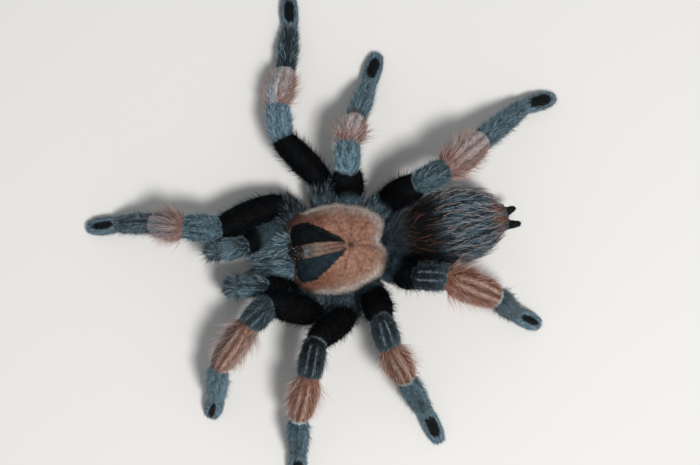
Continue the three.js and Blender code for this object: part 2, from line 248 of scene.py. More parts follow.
def limb_bones(limb, side_name):
    """A limb's bones from its root to its tip."""
    owner = {"limb": LIMBS.index(limb), "side": SIDES[side_name]}
    prefix = f"{limb}_{side_name}_"
    x_share, y_share = ROOTS[limb]
    root = carapace_middle + carapace_half * np.array([SIDES[side_name] * x_share, y_share, 0])
    root[2] = carapace_low[2] * ROOT_HEIGHT
    joints = []
    before = root
    for piece in ("femur", "patella", "tibia"):
        near, far = end_caps(prefix + piece, before)
        joints.append(near if not joints else (joints.pop() + near) / 2)
        joints.append(far)
        before = far
    wide, high = COXA_GIRTH["palp" if limb == "palp" else "leg"]
    bones = [bone("coxa", root, joints[0], COXA_SHARES, wide * COXA_SWELL, high * COXA_SWELL, **owner)]
    for index, kind in enumerate(("femur", "patella", "tibia")):
        bones.append(measured_bone(kind, prefix + kind, joints[index], joints[index + 1], **owner))
    foot = prefix + ("tarsus" if limb == "palp" else "foot")
    tip = farthest_face(foot, before)
    if limb != "palp":
        bend = foot_bend(foot, before, tip, METATARSUS_SHARE[limb])
        bones.append(measured_bone("metatarsus", foot, before, bend, **owner))
        before = bend
    bones.append(measured_bone("tarsus", foot, before, tip, **owner))
    return linked(bones, side_name)


def body_bone(kind, node, side=0.0, steps=9):
    """A bone along the tail direction through a whole node, with the middles of its slices."""
    low, high = node_box(node)
    rows = []
    for share in np.linspace(*BODY_REACH, steps):
        at = (low + high) / 2
        at[1] = low[1] + (high[1] - low[1]) * share
        middle, wide, tall = section(node, at, BACK, reach=40.0)
        rows.append((share, middle, wide, tall))
    shares, middles, wide, tall = zip(*rows)
    start = middles[0] - BACK * (middles[0][1] - low[1])
    end = middles[-1] + BACK * (high[1] - middles[-1][1])
    found = bone(kind, start, end, shares, wide, tall, side=side)
    found["middles"] = np.array(middles)
    return found


limbs = [limb_bones(limb, side) for side in SIDES for limb in (*LIMBS[1:], "palp")]
abdomen = body_bone("abdomen", "abdomen", steps=17)
waist = body_bone("waist", "waist", steps=3)
jaws = [body_bone("jaw", f"chelicera_{side}", SIDES[side]) for side in SIDES]
for piece in jaws:
    piece["lie"] = -BACK
SPINNERETS = {f"spinneret_{size}_{side}": SIDES[side] for size in ("long", "short") for side in SIDES}
spinnerets = [body_bone("spinneret", node, side, steps=5) for node, side in SPINNERETS.items()]
breast_low, _ = node_box("prosoma")
BREAST = {"half": carapace_half * np.array([0.78, 0.8, 1]), "shift": -1.3, "top": carapace_low[2] - 0.2}
BREAST_RINGS = np.linspace(-0.94, 0.94, 24)


# ---- Meshes.
def in_scene(name, data):
    """A new object of the scene."""
    new = bpy.data.objects.new(name, data)
    bpy.context.scene.collection.objects.link(new)
    return new


def new_object(name, points, triangles, slot=None):
    """An object of triangles, from corners in millimetres."""
    mesh = bpy.data.meshes.new(name)
    mesh.vertices.add(len(points))
    mesh.vertices.foreach_set("co", (np.asarray(points, float) * MM).ravel())
    mesh.loops.add(len(triangles) * 3)
    mesh.loops.foreach_set("vertex_index", np.asarray(triangles).ravel())
    mesh.polygons.add(len(triangles))
    mesh.polygons.foreach_set("loop_start", np.arange(0, len(triangles) * 3, 3))
    mesh.update(calc_edges=True)
    mesh.shade_smooth()
    piece = in_scene(name, mesh)
    return piece


def moved(piece, corners):
    """Puts a piece's corners at new places, in millimetres."""
    piece.data.vertices.foreach_set("co", (corners * MM).ravel())
    piece.data.update()


def paint(piece, colours):
    """Keeps a linear colour for each corner of the mesh."""
    attribute = piece.data.color_attributes.new("coat_colour", "FLOAT_COLOR", "POINT")
    rgba = np.column_stack([np.clip(colours, 0, 1), np.ones(len(colours))])
    attribute.data.foreach_set("color", rgba.ravel())


DOME = {"bulge": 0.55, "turns": (0.45, 0.85, 1.2)}  # share of the girth, and radians up the dome
RING_SIDES = {"limb": 24, "body": 36, "breast": 48}


def lofted(rings, sides):
    """A closed tube through rings (middle, along, half width, half height), with domed ends."""
    rings = list(rings)
    for end, way in ((0, -1), (-1, 1)):
        middle, along, wide, high = rings[end]
        bulge = min(wide, high) * DOME["bulge"]
        domes = []
        for turn in DOME["turns"]:
            shrink = math.cos(turn)
            top = middle + along * way * bulge * math.sin(turn)
            domes.append((top, along, wide * shrink, high * shrink))
        rings = domes[::-1] + rings if end == 0 else rings + domes
    angle = np.arange(sides) * 2 * math.pi / sides
    points = []
    for middle, along, wide, high in rings:
        _, across, upward = axes_of(along)
        points.append(
            middle + np.outer(np.sin(angle) * wide, across) + np.outer(np.cos(angle) * high, upward)
        )
    points.append(np.array([rings[0][0], rings[-1][0]]))
    points = np.concatenate(points)
    triangles = []
    last_ring = (len(rings) - 1) * sides
    for side in range(sides):
        after = (side + 1) % sides
        for row in range(0, last_ring, sides):
            a, b, c, d = row + side, row + after, row + sides + after, row + sides + side
            triangles += [(a, b, c), (a, c, d)]
        triangles.append((after, side, len(points) - 2))
        triangles.append((last_ring + side, last_ring + after, len(points) - 1))
    return points, np.array(triangles)


THINNEST = 0.25  # half width of the skin


def skin_girth(piece, share):
    """Half width and half height of the skin at a share of a bone's length."""
    depth = COAT_DEPTH[piece["kind"]]
    wide = np.interp(share, piece["shares"], piece["wide"]) - depth
    high = np.interp(share, piece["shares"], piece["high"]) - depth
    return np.maximum(wide, THINNEST), np.maximum(high, THINNEST)


JOINT_NECK = {"depth": 0.12, "length": 0.6}
RING_STEP = {"limb": 0.45, "body": 0.6}
FEWEST_RINGS = 6
BEND_SHIFT = 0.55  # of the girth, how far the inner side of a bend is drawn in


def limb_rings(bones):
    """Rings down a whole limb, close together, rounded off at the joints and a little drawn in there."""
    rings = []
    last = len(bones) - 1
    for index, piece in enumerate(bones):
        before = bones[max(index - 1, 0)]["along"]
        after = bones[min(index + 1, last)]["along"]
        steps = max(FEWEST_RINGS, int(piece["length"] / RING_STEP["limb"]))
        for step in range(steps):
            share = (step + 0.5) / steps
            wide, high = skin_girth(piece, share)
            to_start, to_end = share * piece["length"], (1 - share) * piece["length"]
            near = min(to_start, to_end)
            near_start = to_start < to_end
            neighbour = before if near_start else after
            if (near_start and index > 1) or (not near_start and 0 < index < last):
                neck = 1 - JOINT_NECK["depth"] * math.exp(-((near / JOINT_NECK["length"]) ** 2))
                wide, high = wide * neck, high * neck
            turn_length = max(wide, high)
            closeness = max(0.0, 1 - near / turn_length)
            facing = unit(piece["along"] * (1 - closeness * 0.5) + neighbour * (closeness * 0.5))
            sharpness = 1 - float(np.dot(piece["along"], neighbour))
            way_in = unit(neighbour - piece["along"]) if sharpness > 1e-3 else np.zeros(3)
            inward = -way_in if near_start else way_in
            middle = piece["start"] + piece["along"] * to_start
            middle = middle + inward * min(sharpness, 1.0) * turn_length * BEND_SHIFT * closeness**2
            rings.append((middle, facing, wide, high))
    return rings


def body_rings(piece):
    """Rings through the middles of a body part's slices."""
    rings = []
    steps = max(FEWEST_RINGS, int(piece["length"] / RING_STEP["body"]))
    for share in np.linspace(*BODY_SKIN_REACH, steps):
        wide, high = skin_girth(piece, share)
        middle = np.array([np.interp(share, piece["shares"], line) for line in piece["middles"].T])
        middle[1] = piece["start"][1] + piece["length"] * share
        rings.append((middle, BACK, wide, high))
    return rings


def breast_rings():
    """The body below the carapace: a flat oval, fuller above than below."""
    middle_y = carapace_middle[1] + BREAST["shift"]
    top = BREAST["top"]
    low = breast_low[2] + COAT_DEPTH["breast"]
    rings = []
    for share in BREAST_RINGS:
        bow = math.sqrt(1 - share**2)
        bottom = top - (top - low) * bow**0.7
        middle = np.array([carapace_middle[0], middle_y + share * BREAST["half"][1], (top + bottom) / 2])
        rings.append((middle, BACK, BREAST["half"][0] * bow**0.8, (top - bottom) / 2))
    return rings


# ---- One skin over the whole body.
SKIN_MESH = {"voxel": 0.37, "smoothing": 3}
CARAPACE_MESH = {"voxel": 0.21, "smoothing": 10}


def remeshed(piece, voxel, smoothing, name):
    """The piece as one evenly meshed closed surface."""
    modifier = piece.modifiers.new("remesh", "REMESH")
    modifier.mode = "VOXEL"
    modifier.voxel_size = voxel * MM
    smooth = piece.modifiers.new("smooth", "SMOOTH")
    smooth.factor = 0.5
    smooth.iterations = smoothing
    graph = bpy.context.evaluated_depsgraph_get()
    mesh = bpy.data.meshes.new_from_object(piece.evaluated_get(graph))
    bpy.data.objects.remove(piece)
    points, _, triangles = mesh_arrays(mesh)
    bpy.data.meshes.remove(mesh)
    return new_object(name, points, triangles)


def joined(parts, name):
    """One object of several lots of corners and triangles."""
    points, triangles, count = [], [], 0
    for corners, faces in parts:
        points.append(corners)
        triangles.append(faces + count)
        count += len(corners)
    return new_object(name, np.concatenate(points), np.concatenate(triangles))


lofts = [lofted(limb_rings(bones), RING_SIDES["limb"]) for bones in limbs]
lofts += [lofted(body_rings(piece), RING_SIDES["body"]) for piece in (abdomen, waist, *jaws, *spinnerets)]
lofts += [node_mesh(node) for node in SPINNERETS]
lofts.append(lofted(breast_rings(), RING_SIDES["breast"]))
skin = remeshed(joined(lofts, "skin_lofts"), **SKIN_MESH, name="skin")
corners, _, _ = mesh_arrays(skin.data)
corners[:, 2] = np.maximum(corners[:, 2], 0)  # the soles are flat
moved(skin, corners)

# ---- Where a point of the skin belongs: its bone, the share along it and the angle round it.
breast_middle = np.array([carapace_middle[0], carapace_middle[1] + BREAST["shift"], carapace_low[2] * 0.7])
breast_reach = BACK * BREAST["half"][1]
breast_widths = (4.5, BREAST["half"][0] - 1, 4.5)  # at its front, in its middle and at its rear
breast_heights = (2.4, 2.9, 2.4)
breast = bone(
    "breast", breast_middle - breast_reach, breast_middle + breast_reach, (0, 0.5, 1), breast_widths,
    breast_heights,
)
bones = [piece for limb in limbs for piece in limb] + [abdomen, waist, *jaws, *spinnerets, breast]
ABDOMEN_END = 0.5  # millimetres: what lies further behind the abdomen belongs to the spinnerets
BEYOND_JOINT = 3.0  # added to the distance from a segment for points past its joints
JOINT_BLEND = 0.1  # millimetres past a joint over which it is added
SHORTEST_BETWEEN = 0.3  # millimetres between the two planes that part a segment's hair from its neighbours'

# Points of the skin: their places, the share along their bone, the angle round it from its upper side,
# the number of their limb and their side. On the left limbs the angle is positive on the side that faces
# the head, and on the right ones on the side that faces the tail.
Place = namedtuple("Place", "at share angle limb side")


def bone_values(owner, key):
    return np.array([piece[key] for piece in bones])[owner]


def chosen(place, mask):
    return Place(*(values[mask] for values in place))


def place_on(points):
    """For each point the number of its bone, and its Place there."""
    best = np.full(len(points), np.inf)
    owner = np.zeros(len(points), int)
    share = np.zeros(len(points))
    angle = np.zeros(len(points))
    for number, piece in enumerate(bones):
        offset = points - piece["start"]
        along = offset @ piece["along"]
        here = np.clip(along / piece["length"], 0, 1)
        beyond = along - here * piece["length"]
        middle_shift = np.zeros((len(points), 3))
        if "middles" in piece:
            line = piece["start"] + np.outer(here * piece["length"], piece["along"])
            for axis in (0, 2):
                middle_shift[:, axis] = np.interp(here, piece["shares"], piece["middles"][:, axis])
                middle_shift[:, axis] -= line[:, axis]
        wide = (offset - middle_shift) @ piece["across"]
        high = (offset - middle_shift) @ piece["upward"]
        half_wide, half_high = skin_girth(piece, here)
        end_reach = ABDOMEN_END if piece["kind"] == "abdomen" else half_high
        distance = np.sqrt((wide / half_wide) ** 2 + (high / half_high) ** 2 + (beyond / end_reach) ** 2)
        from_start = (points - piece["start_at"]) @ piece["start_plane"]
        to_end = (piece["end_at"] - points) @ piece["end_plane"]
        for depth, jointed in zip((from_start, to_end), piece["jointed"]):
            if jointed:
                distance += BEYOND_JOINT * np.clip(-depth / JOINT_BLEND, 0, 1)
        here = np.clip(from_start / np.maximum(from_start + to_end, SHORTEST_BETWEEN), 0, 1)
        closer = distance < best
        best[closer] = distance[closer]
        owner[closer] = number
        share[closer] = here[closer]
        angle[closer] = np.arctan2(wide, high)[closer]
    return owner, Place(points, share, angle, bone_values(owner, "limb"), bone_values(owner, "side"))


# ---- Markings: one set of colours for the skin and the coat, as linear red, green and blue.
BLACK = np.array([0.0020, 0.0020, 0.0026])
INK = np.array([0.012, 0.017, 0.021])
SLATE = np.array([0.120, 0.195, 0.235])
DEEP_SLATE = np.array([0.036, 0.060, 0.073])
FROST = np.array([0.340, 0.470, 0.540])
ROSE = np.array([0.400, 0.215, 0.165])
RUST = np.array([0.330, 0.120, 0.065])
PALE_ROSE = np.array([0.620, 0.480, 0.440])
WHITISH = np.array([0.760, 0.640, 0.600])
ASH = np.array([0.720, 0.680, 0.700])
MEMBRANE = np.array([0.420, 0.270, 0.240])
BROWN = np.array([0.100, 0.055, 0.038])
VELVET = np.array([0.340, 0.160, 0.102])
VELVET_PALE = np.array([0.430, 0.265, 0.200])
FRINGE = np.array([0.670, 0.590, 0.540])


def mix(first, second, share):
    share = np.clip(np.asarray(share, float), 0, 1)[..., None]
    return first * (1 - share) + second * share


def ramp(value, low, high):
    """0 below low, 1 above high, and smooth between them."""
    share = np.clip((np.asarray(value, float) - low) / (high - low), 0, 1)
    return share * share * (3 - 2 * share)


def band(value, middle, width):
    return np.exp(-(((np.asarray(value, float) - middle) / width) ** 2))


WAVINESS = {"waves": 6, "frequencies": (0.6, 1.6), "level": 3.5}


def wavy(points, scale, seed):
    """Smooth unevenness between about -1 and 1 with waves about as long as the scale."""
    total = np.zeros(len(points))
    waves = np.random.default_rng(seed)
    for _ in range(WAVINESS["waves"]):
        direction = unit(waves.normal(size=3))
        frequency = 2 * math.pi / scale * waves.uniform(*WAVINESS["frequencies"])
        total += np.sin(points @ direction * frequency + waves.uniform(0, 6.3))
    return total / WAVINESS["level"]


# In the functions below, the two numbers after a Place are the shares of the segment, or the angles round
# it, between which a marking fades in, and the last factor of a layer is how strong the marking is.
def far(p, low, high):
    """1 towards a segment's far end, 0 before it."""
    return ramp(p.share, low, high)


def near(p, low, high):
    """1 at a segment's base, 0 after it."""
    return 1 - ramp(p.share, low, high)


def flank(p, low, high):
    """1 on both flanks and below, 0 on the upper side."""
    return ramp(np.abs(p.angle), low, high)


def facing_up(p, low, high):
    return ramp(np.cos(p.angle), low, high)


def by_side(p, right, left):
    return np.where(p.side < 0, right, left)


def on_limbs(p, side_name, *numbers):
    """True on the limbs with these numbers, on one side."""
    return (p.side == SIDES[side_name]) & np.isin(p.limb, numbers)


def per_limb(table, p):
    """A table's value for each point's limb and side."""
    return by_side(p, np.array(table["right"])[p.limb], np.array(table["left"])[p.limb])


STRIPE_ANGLE = 0.33  # on both sides of the middle of the upper side
STRIPE_WIDTH = {"patella": 0.065, "tibia": 0.11}
STREAKS = {"radius": 2.4, "width": 0.55}  # of a segment drawn out as a rod, and of the lines along it


def stripes(kind, p, low, high):
    """Two bare lines that run along the upper side of a segment."""
    line = band(np.abs(p.angle), STRIPE_ANGLE, STRIPE_WIDTH[kind])
    return line * far(p, low, low + 0.08) * near(p, high - 0.06, high)


def streaks(p, seed):
    """Uneven lines that run along a segment."""
    around = np.column_stack([np.sin(p.angle), np.cos(p.angle), p.share * 0.5])
    return wavy(around * STREAKS["radius"], STREAKS["width"], seed)


# Factors for the palp and legs 1 to 4: how pale the down of the limbs is.
TONES = {
    "patella": {"right": (2.1, 1.6, 3.1, 2.6, 1.1), "left": (2.4, 0.55, 0.03, 0.2, 0.12)},
    "tibia": {"right": (1.2, 1.15, 1.6, 1.45, 1.35), "left": (1.1, 1.3, 1.2, 0.88, 1.1)},
    "foot": {"right": (1.0, 1.2, 0.8, 2.5, 1.8), "left": (1.0, 2.8, 2.1, 2.1, 1.5)},
}
WARMER = np.array([1.0, 0.92, 0.82])  # the tint of the left tibiae
# How ashen the tibiae are.
TIBIA_ASH = {"right": (0.0, 0.9, 0.96, 1.0, 0.75), "left": (0.0, 0.15, 0.0, 0.0, 0.0)}
# How dark the upper side of the metatarsus is, and half the angle that the dark patch on the foot spans.
METATARSUS_DARK = {"right": (0.0, 0.3, 0.8, 0.5, 0.1), "left": (0.0, 0.05, 0.35, 0.75, 0.15)}
PATCH_ANGLE = {"right": (0.9, 0.6, 0.85, 0.85, 0.9), "left": (0.9, 0.45, 0.8, 0.85, 0.5)}
FUZZ_ON_FEMUR = (0.12, 0.2, 0.12, 0.12, 0.24)  # how far the carapace's fuzz reaches on the femora


def reach_in(points, middle, radii):
    """How far points lie out in an upright oval: 1 at its edge, seen from above."""
    return np.hypot(*((points[:, :2] - middle[:2]) / radii[:2]).T)


def fuzzy(p, colour, width=0.3):
    """The colour of the skin with the pale fuzz that rings the carapace, paler at its rear."""
    reach = reach_in(p.at, carapace_middle + carapace_half * BACK * 0.1, carapace_half)
    close = (1 - ramp(reach, 0.9 + width, 1.1 + width)) * facing_up(p, -0.3, 0.3)
    paler = 1.0 + 0.5 * ramp(p.at[:, 1] - carapace_middle[1], 0, carapace_half[1] * 0.6)
    return mix(colour, SLATE * paler[:, None], close * (0.68 + 0.3 * wavy(p.at, 1.3, 21)))


def overlaid(colour, *layers):
    """A colour with others laid over it in turn, each with its share."""
    for over, share in layers:
        colour = mix(colour, over, share)
    return colour


def shaded(colour, share):
    """Darker, as the undersides are."""
    return mix(colour, colour * 0.35, share)


def femur_colour(p):
    colour = mix(BLACK, INK, 0.12 + 0.2 * wavy(p.at, 3, 1))
    rim = far(p, 0.972, 0.985) * facing_up(p, -0.2, 0.5)
    socket = near(p, 0.015, 0.04) * band(p.angle, 0.6, 0.5) * (p.side < 0)
    return overlaid(
        fuzzy(p, colour, width=np.array(FUZZ_ON_FEMUR)[p.limb]),
        (SLATE * 0.8, near(p, 0.48, 0.74) * on_limbs(p, "right", PALP) * 0.8),
        (FROST, rim * (by_side(p, 0.85, 0.5) + 0.4 * wavy(p.at, 2.0, 17))),
        (MEMBRANE, socket * 0.7),
    )


def patella_colour(p):
    left_leg = on_limbs(p, "left", 1, 2, 3, 4)
    colour = mix(DEEP_SLATE * 0.7, SLATE, 0.72 + 0.6 * streaks(p, 2))
    return overlaid(
        colour * per_limb(TONES["patella"], p)[:, None],
        (INK, near(p, 0.0, 0.10) * 0.5),
        (INK, near(p, 0.3, 0.65) * (p.limb == PALP) * 0.85),
        (SLATE, far(p, 0.45, 0.9) * left_leg * 0.45),
        (INK, band(p.angle, 0, 0.2) * by_side(p, 0.25, 0.6)),
        (SLATE * 0.7, flank(p, 0.6, 1.2) * left_leg * (0.4 + 0.5 * streaks(p, 19))),
        (SLATE * 1.5, far(p, 0.93, 0.99) * 0.6),
        (FROST * 1.1, stripes("patella", p, 0.16, 0.9) * by_side(p, 0.35, 0.7) * (p.limb != PALP)),
    )


def palp_tibia_colour(p):
    colour = mix(DEEP_SLATE * 0.8, SLATE, 0.6 + 0.6 * streaks(p, 3))
    # On the left palp the tibia darkens towards its end: painted shade, as it falls steeply and lies low.
    return mix(colour, INK, far(p, 0.3, 0.7) * (p.side > 0) * 0.85)


def tibia_colour(p):
    lines = streaks(p, 3)
    left_1, right_1, right_2 = (on_limbs(p, *limb) for limb in (("left", 1), ("right", 1), ("right", 2)))
    rusty = np.maximum(ramp(p.angle, 0.4, 1.0), near(p, 0.05, 0.4))
    furrows = band(p.angle, 0, 0.16) * 0.6 + band(np.abs(p.angle), 0.75, 0.15) * 0.5
    colour = overlaid(
        ROSE * 1.2,
        (RUST * 0.72, 0.3 + 0.95 * lines),
        (mix(ASH, ASH * 0.5, 0.3 + 0.7 * lines), per_limb(TIBIA_ASH, p) * (0.72 + 0.28 * far(p, 0.1, 0.7))),
        # On the first left tibia the side that faces the head gets painted shade, and the side that faces
        # the tail is paler.
        (DEEP_SLATE, ramp(p.angle, 0.1, 0.8) * left_1 * 0.75),
        (PALE_ROSE, ramp(-p.angle, 0.3, 0.9) * left_1 * 0.5),
        (RUST * 1.1, rusty * on_limbs(p, "right", 1, 2, 3, 4) * 0.6),
        (FROST * 1.1, ramp(-p.angle, 0.0, 0.5) * right_2 * 0.85),
        (BROWN, furrows * far(p, 0.06, 0.2) * by_side(p, 0.7, 1.0)),
        (SLATE * 1.7, far(p, 0.3, 0.6) * right_1 * (0.55 + 0.35 * lines)),
        (PALE_ROSE * 1.2, stripes("tibia", p, 0.1, 0.97) * 0.9),
        (FROST * 1.4, far(p, 0.915, 0.945) * (p.limb > 1) * by_side(p, 0.2, 1.0)),
    )
    colour = mix(shaded(colour, flank(p, 2.0, 2.8)), palp_tibia_colour(p), (p.limb == PALP) * 0.97)
    colour = np.where(on_limbs(p, "left", 1, 2, 3, 4)[:, None], colour * WARMER, colour)
    return colour * per_limb(TONES["tibia"], p)[:, None]


def metatarsus_colour(p):
    colour = mix(SLATE, DEEP_SLATE * 0.7, 0.4 + 0.6 * streaks(p, 4))
    top = band(p.angle, 0, 0.5) * band(p.share, 0.58, 0.34)
    return overlaid(
        colour * per_limb(TONES["foot"], p)[:, None],
        (INK * 1.4, near(p, 0.05, 0.26) * np.where(on_limbs(p, "right", 2, 3), 0.7, 0.3)),
        (INK, top * per_limb(METATARSUS_DARK, p)),
        (FROST, far(p, 0.88, 0.96) * 0.5),
    )


def tarsus_colour(p):
    oval = np.abs(p.angle / per_limb(PATCH_ANGLE, p)) ** 3 + np.abs((p.share - 0.42) / 0.39) ** 3
    patch = 1 - ramp(oval + 0.3 * streaks(p, 16), 0.6, 1.15)
    return overlaid(
        SLATE * 0.8,
        (FROST * [1.0, 1.05, 1.1], 0.5 + 0.5 * streaks(p, 5)),
        (BLACK * 1.3, patch * np.where(p.limb == PALP, 0.85, 0.98)),
        # The left palp's tarsus is darkened: painted shade, as it hangs low.
        (INK, far(p, -0.1, 0.3) * on_limbs(p, "left", PALP) * 0.8),
        (INK, flank(p, 2.2, 2.9)),
    )


def coxa_colour(p):
    colour = mix(INK * 0.5, SLATE * 0.6, 0.4 * wavy(p.at, 1.1, 6))
    spots = ramp(wavy(p.at, 3.1, 7), 0.55, 0.8) * facing_up(p, 0.1, 0.5) * far(p, 0.6, 0.8)
    return mix(fuzzy(p, mix(colour, MEMBRANE, spots * 0.6)), BROWN * 0.4, flank(p, 1.9, 2.4))


def jaw_colour(p):
    return overlaid(
        DEEP_SLATE,
        (SLATE * 2.2, 0.6 + 0.5 * wavy(p.at, 1.1, 8)),
        (INK, band(p.angle * p.side, -0.9, 0.5) * 0.7),
        (BROWN, flank(p, 2.2, 2.8) * 0.8),
    )


def abdomen_colour(p):
    combed = np.column_stack([p.angle * 6, p.share * 4, p.angle])
    down = mix(INK, SLATE * [0.75, 1.0, 1.1], 0.45 + 0.8 * wavy(combed, 1.1, 10))
    colour = mix(BLACK * 2, down, ramp(p.share + 0.05 * wavy(p.at, 5, 9), 0.33, 0.52))
    rusty = ramp(p.share + 0.03 * wavy(p.at, 1.6, 18), 0.825, 0.88) * (1 - flank(p, 0.8, 1.4))
    return overlaid(
        colour,
        (fuzzy(p, colour), 0.25 + 0.75 * flank(p, 0.5, 1.0)),
        (RUST * 0.75, rusty * (0.5 + 0.6 * wavy(combed, 0.9, 20))),
        (DEEP_SLATE, flank(p, 1.1, 1.7) * 0.6),
        (BROWN * 0.5, flank(p, 2.1, 2.7)),
    )


def spinneret_colour(p):
    return mix(BLACK, DEEP_SLATE, 0.2 + 0.3 * band(np.abs(p.angle), 1.2, 0.5))


def waist_colour(p):
    return fuzzy(p, np.tile(DEEP_SLATE * 0.6, (len(p.share), 1)))


def breast_colour(p):
    return fuzzy(p, mix(DEEP_SLATE, INK, flank(p, 1.4, 2.2)))


COLOURS = {
    "coxa": coxa_colour, "femur": femur_colour, "patella": patella_colour, "tibia": tibia_colour,
    "metatarsus": metatarsus_colour, "tarsus": tarsus_colour, "abdomen": abdomen_colour, "jaw": jaw_colour,
    "waist": waist_colour, "spinneret": spinneret_colour, "breast": breast_colour,
}


def markings(kinds, place):
    """The colour of each point of the skin."""
    colours = np.zeros((len(kinds), 3))
    for kind, colour in COLOURS.items():
        mine = kinds == kind
        if mine.any():
            colours[mine] = colour(chosen(place, mine))
    return colours


# ---- The carapace: the CAD plate made smooth, with the furrows that radiate from its pit pressed in.
PIT = np.array([carapace_middle[0], carapace_middle[1] + 0.27 * carapace_half[1]])
EYE_NODES = [f"eye_{name}_{side}" for name in EYES for side in SIDES]
MOUND = np.mean([sum(node_box(node)) / 2 for node in EYE_NODES], axis=0)[:2] + BACK[:2] * 0.15
MOUND_RADII = np.array([1.72, 1.42])
HEAD_FURROW = 0.52
FURROWS = (HEAD_FURROW, 1.15, 1.75, 2.35, 2.95)  # angles from straight ahead
FURROW_DEPTH = {"head": 0.30, "others": 0.2, "pit": 0.55}
VELVET_DEPTH = 0.05  # how far the velvet's skin lies inside the CAD plate
SKIN_SHADE = {"carapace": 0.8, "body": 0.4}  # of the markings, as hairs stand in the skin's light

# The dark wedges' edges: distances to the side, by the distance ahead of the pit.
WEDGE = {
    "ahead": [1.0, 2.0, 3.8, 6.2, 8.5, 10.6, 12.0, 13.2],
    "inner": [0.35, 0.75, 1.05, 1.3, 1.35, 1.3, 1.5, 1.8],
    "outer": [0.8, 1.8, 3.1, 4.9, 6.3, 6.6, 6.1, 5.1],
}
# The stripe between the wedges, by the distance ahead of the pit: brown at first and grey by the eyes.
MIDDLE_STRIPE = {
    "ahead": [1.5, 4.5, 7.2, 9.0],
    "colours": [(0.13, 0.070, 0.050), (0.21, 0.125, 0.094), (0.20, 0.15, 0.123), (0.06, 0.055, 0.054)],
}


def plate_place(points):
    """Distance from the pit and angle from straight ahead, positive on the left side."""
    offset = points[:, :2] - PIT
    return np.hypot(offset[:, 0], offset[:, 1]), np.arctan2(offset[:, 0], -offset[:, 1])


def on_mound(points):
    """1 on the mound that carries the eyes."""
    return 1 - ramp(reach_in(points, MOUND, MOUND_RADII), 0.85, 1.1)


def below(points, low, high):
    """1 near the carapace's edge, 0 where the plate is higher than that above the edge."""
    return 1 - ramp(points[:, 2] - carapace_low[2], low, high)


def plate_rim(points):
    return below(points, 1.0, 2.3)


def front_part(ahead):
    """1 where the carapace's edge has no pale fringe, by the distance ahead of the pit."""
    return ramp(ahead, 8.0, 10.0)


def velvet_colour(distance, angle):
    """The carapace's velvet with its rays, furrows and a paler outer part, and painted sheen on its right
    side and painted shade on its left.
    """
    rays = wavy(np.column_stack([np.sin(angle), np.cos(angle), distance * 0.04]) * 6, 2.2, 11)
    colour = mix(VELVET, VELVET_PALE, 0.22 + 0.32 * rays + 0.5 * ramp(distance, 4.5, 9.5))
    # Painted light: lighter on the right side as a sheen, darker on the left side as shade.
    colour = colour * (1.03 - 0.11 * np.sin(angle) * ramp(distance, 1, 5))[:, None]
    colour = mix(colour, VELVET * 0.6, ramp(rays, 0.1, 0.9) * 0.35)
    for furrow in FURROWS:
        line = band(np.abs(angle), furrow, 0.04 + 0.10 / (distance + 0.5)) * ramp(distance, 0.4, 2.5)
        colour = mix(colour, BROWN, line * 0.45 * (1 - ramp(distance, 6.0, 9.0)))
    return colour


def carapace_colour(points):
    """The velvet with its two dark wedges, the stripe between them, the pit, the rim and the mound."""
    distance, angle = plate_place(points)
    ahead = distance * np.cos(angle)
    aside = np.abs(distance * np.sin(angle))
    frayed = 0.22 * wavy(np.column_stack([aside, ahead * 0.3, aside]), 0.7, 13)
    outer = np.interp(ahead, WEDGE["ahead"], WEDGE["outer"]) + frayed
    inner = np.interp(ahead, WEDGE["ahead"], WEDGE["inner"]) + frayed * 0.6
    front = 1 - ramp(ahead + 0.09 * (aside - 3.2) ** 2, 12.5, 13.1)
    wedge = ramp(aside - inner, -0.2, 0.2) * (1 - ramp(aside - outer, -0.25, 0.3)) * front
    wedge = wedge * ramp(ahead, 0.9, 1.4)
    sheen = np.where(angle > 0, 0.78, 0.0) + 0.25 * wavy(points, 2.2, 15)
    between = (1 - ramp(aside - inner, -0.15, 0.15)) * ramp(ahead, 0.8, 2.0) * (1 - wedge)
    channels = np.transpose(MIDDLE_STRIPE["colours"])
    stripe_colour = np.transpose([np.interp(ahead, MIDDLE_STRIPE["ahead"], channel) for channel in channels])
    corner = ramp(ahead, 2.0, 6.0) * (1 - wedge) * ramp(aside, 3.5, 6.0)
    bare = front_part(ahead)
    behind_mound = band(reach_in(points, MOUND + BACK[:2] * 1.9, np.ones(2)), 0, 0.8)
    return overlaid(
        velvet_colour(distance, angle),
        (mix(BLACK * [0.2, 0.5, 0.8], DEEP_SLATE * [0.34, 0.46, 0.50], sheen), wedge),
        (stripe_colour, between * 0.85),
        (INK * 1.5, band(aside, 0.42, 0.13) * ramp(ahead, 1.0, 2.0) * 0.65),
        (VELVET * [0.55, 0.38, 0.30], corner * 0.72),
        (BROWN * 0.35, band(distance, 0, 0.8)),
        (BROWN, band(distance, 0, 2.2) * 0.35),
        (FRINGE, below(points, 1.6, 3.6) * (1 - bare) * np.where(angle < 0, 0.32, 0.2)),
        (FRINGE, plate_rim(points) * (1 - bare) * np.where(angle < 0, 0.85, 0.7)),
        (BROWN * 0.5, plate_rim(points) * bare * 0.85),
        (FROST * 0.7, behind_mound * 0.4),
        (BLACK, on_mound(points)),
    )


def furrow_depths(corners, normals):
    """How deep the furrows and the pit are pressed into the carapace's upper side."""
    distance, angle = plate_place(corners)
    total = np.zeros(len(corners))
    for furrow in FURROWS:
        depth = FURROW_DEPTH["head" if furrow == HEAD_FURROW else "others"]
        line = band(np.abs(angle), furrow, 0.07 + 0.22 / (distance + 0.6))
        total += depth * line * ramp(distance, 0.5, 2.5) * (1 - ramp(distance, 6.0, 9.0))
    total += FURROW_DEPTH["pit"] * band(distance, 0, 0.7)
    return total * ((1 - on_mound(corners)) * (normals[:, 2] > 0.2))


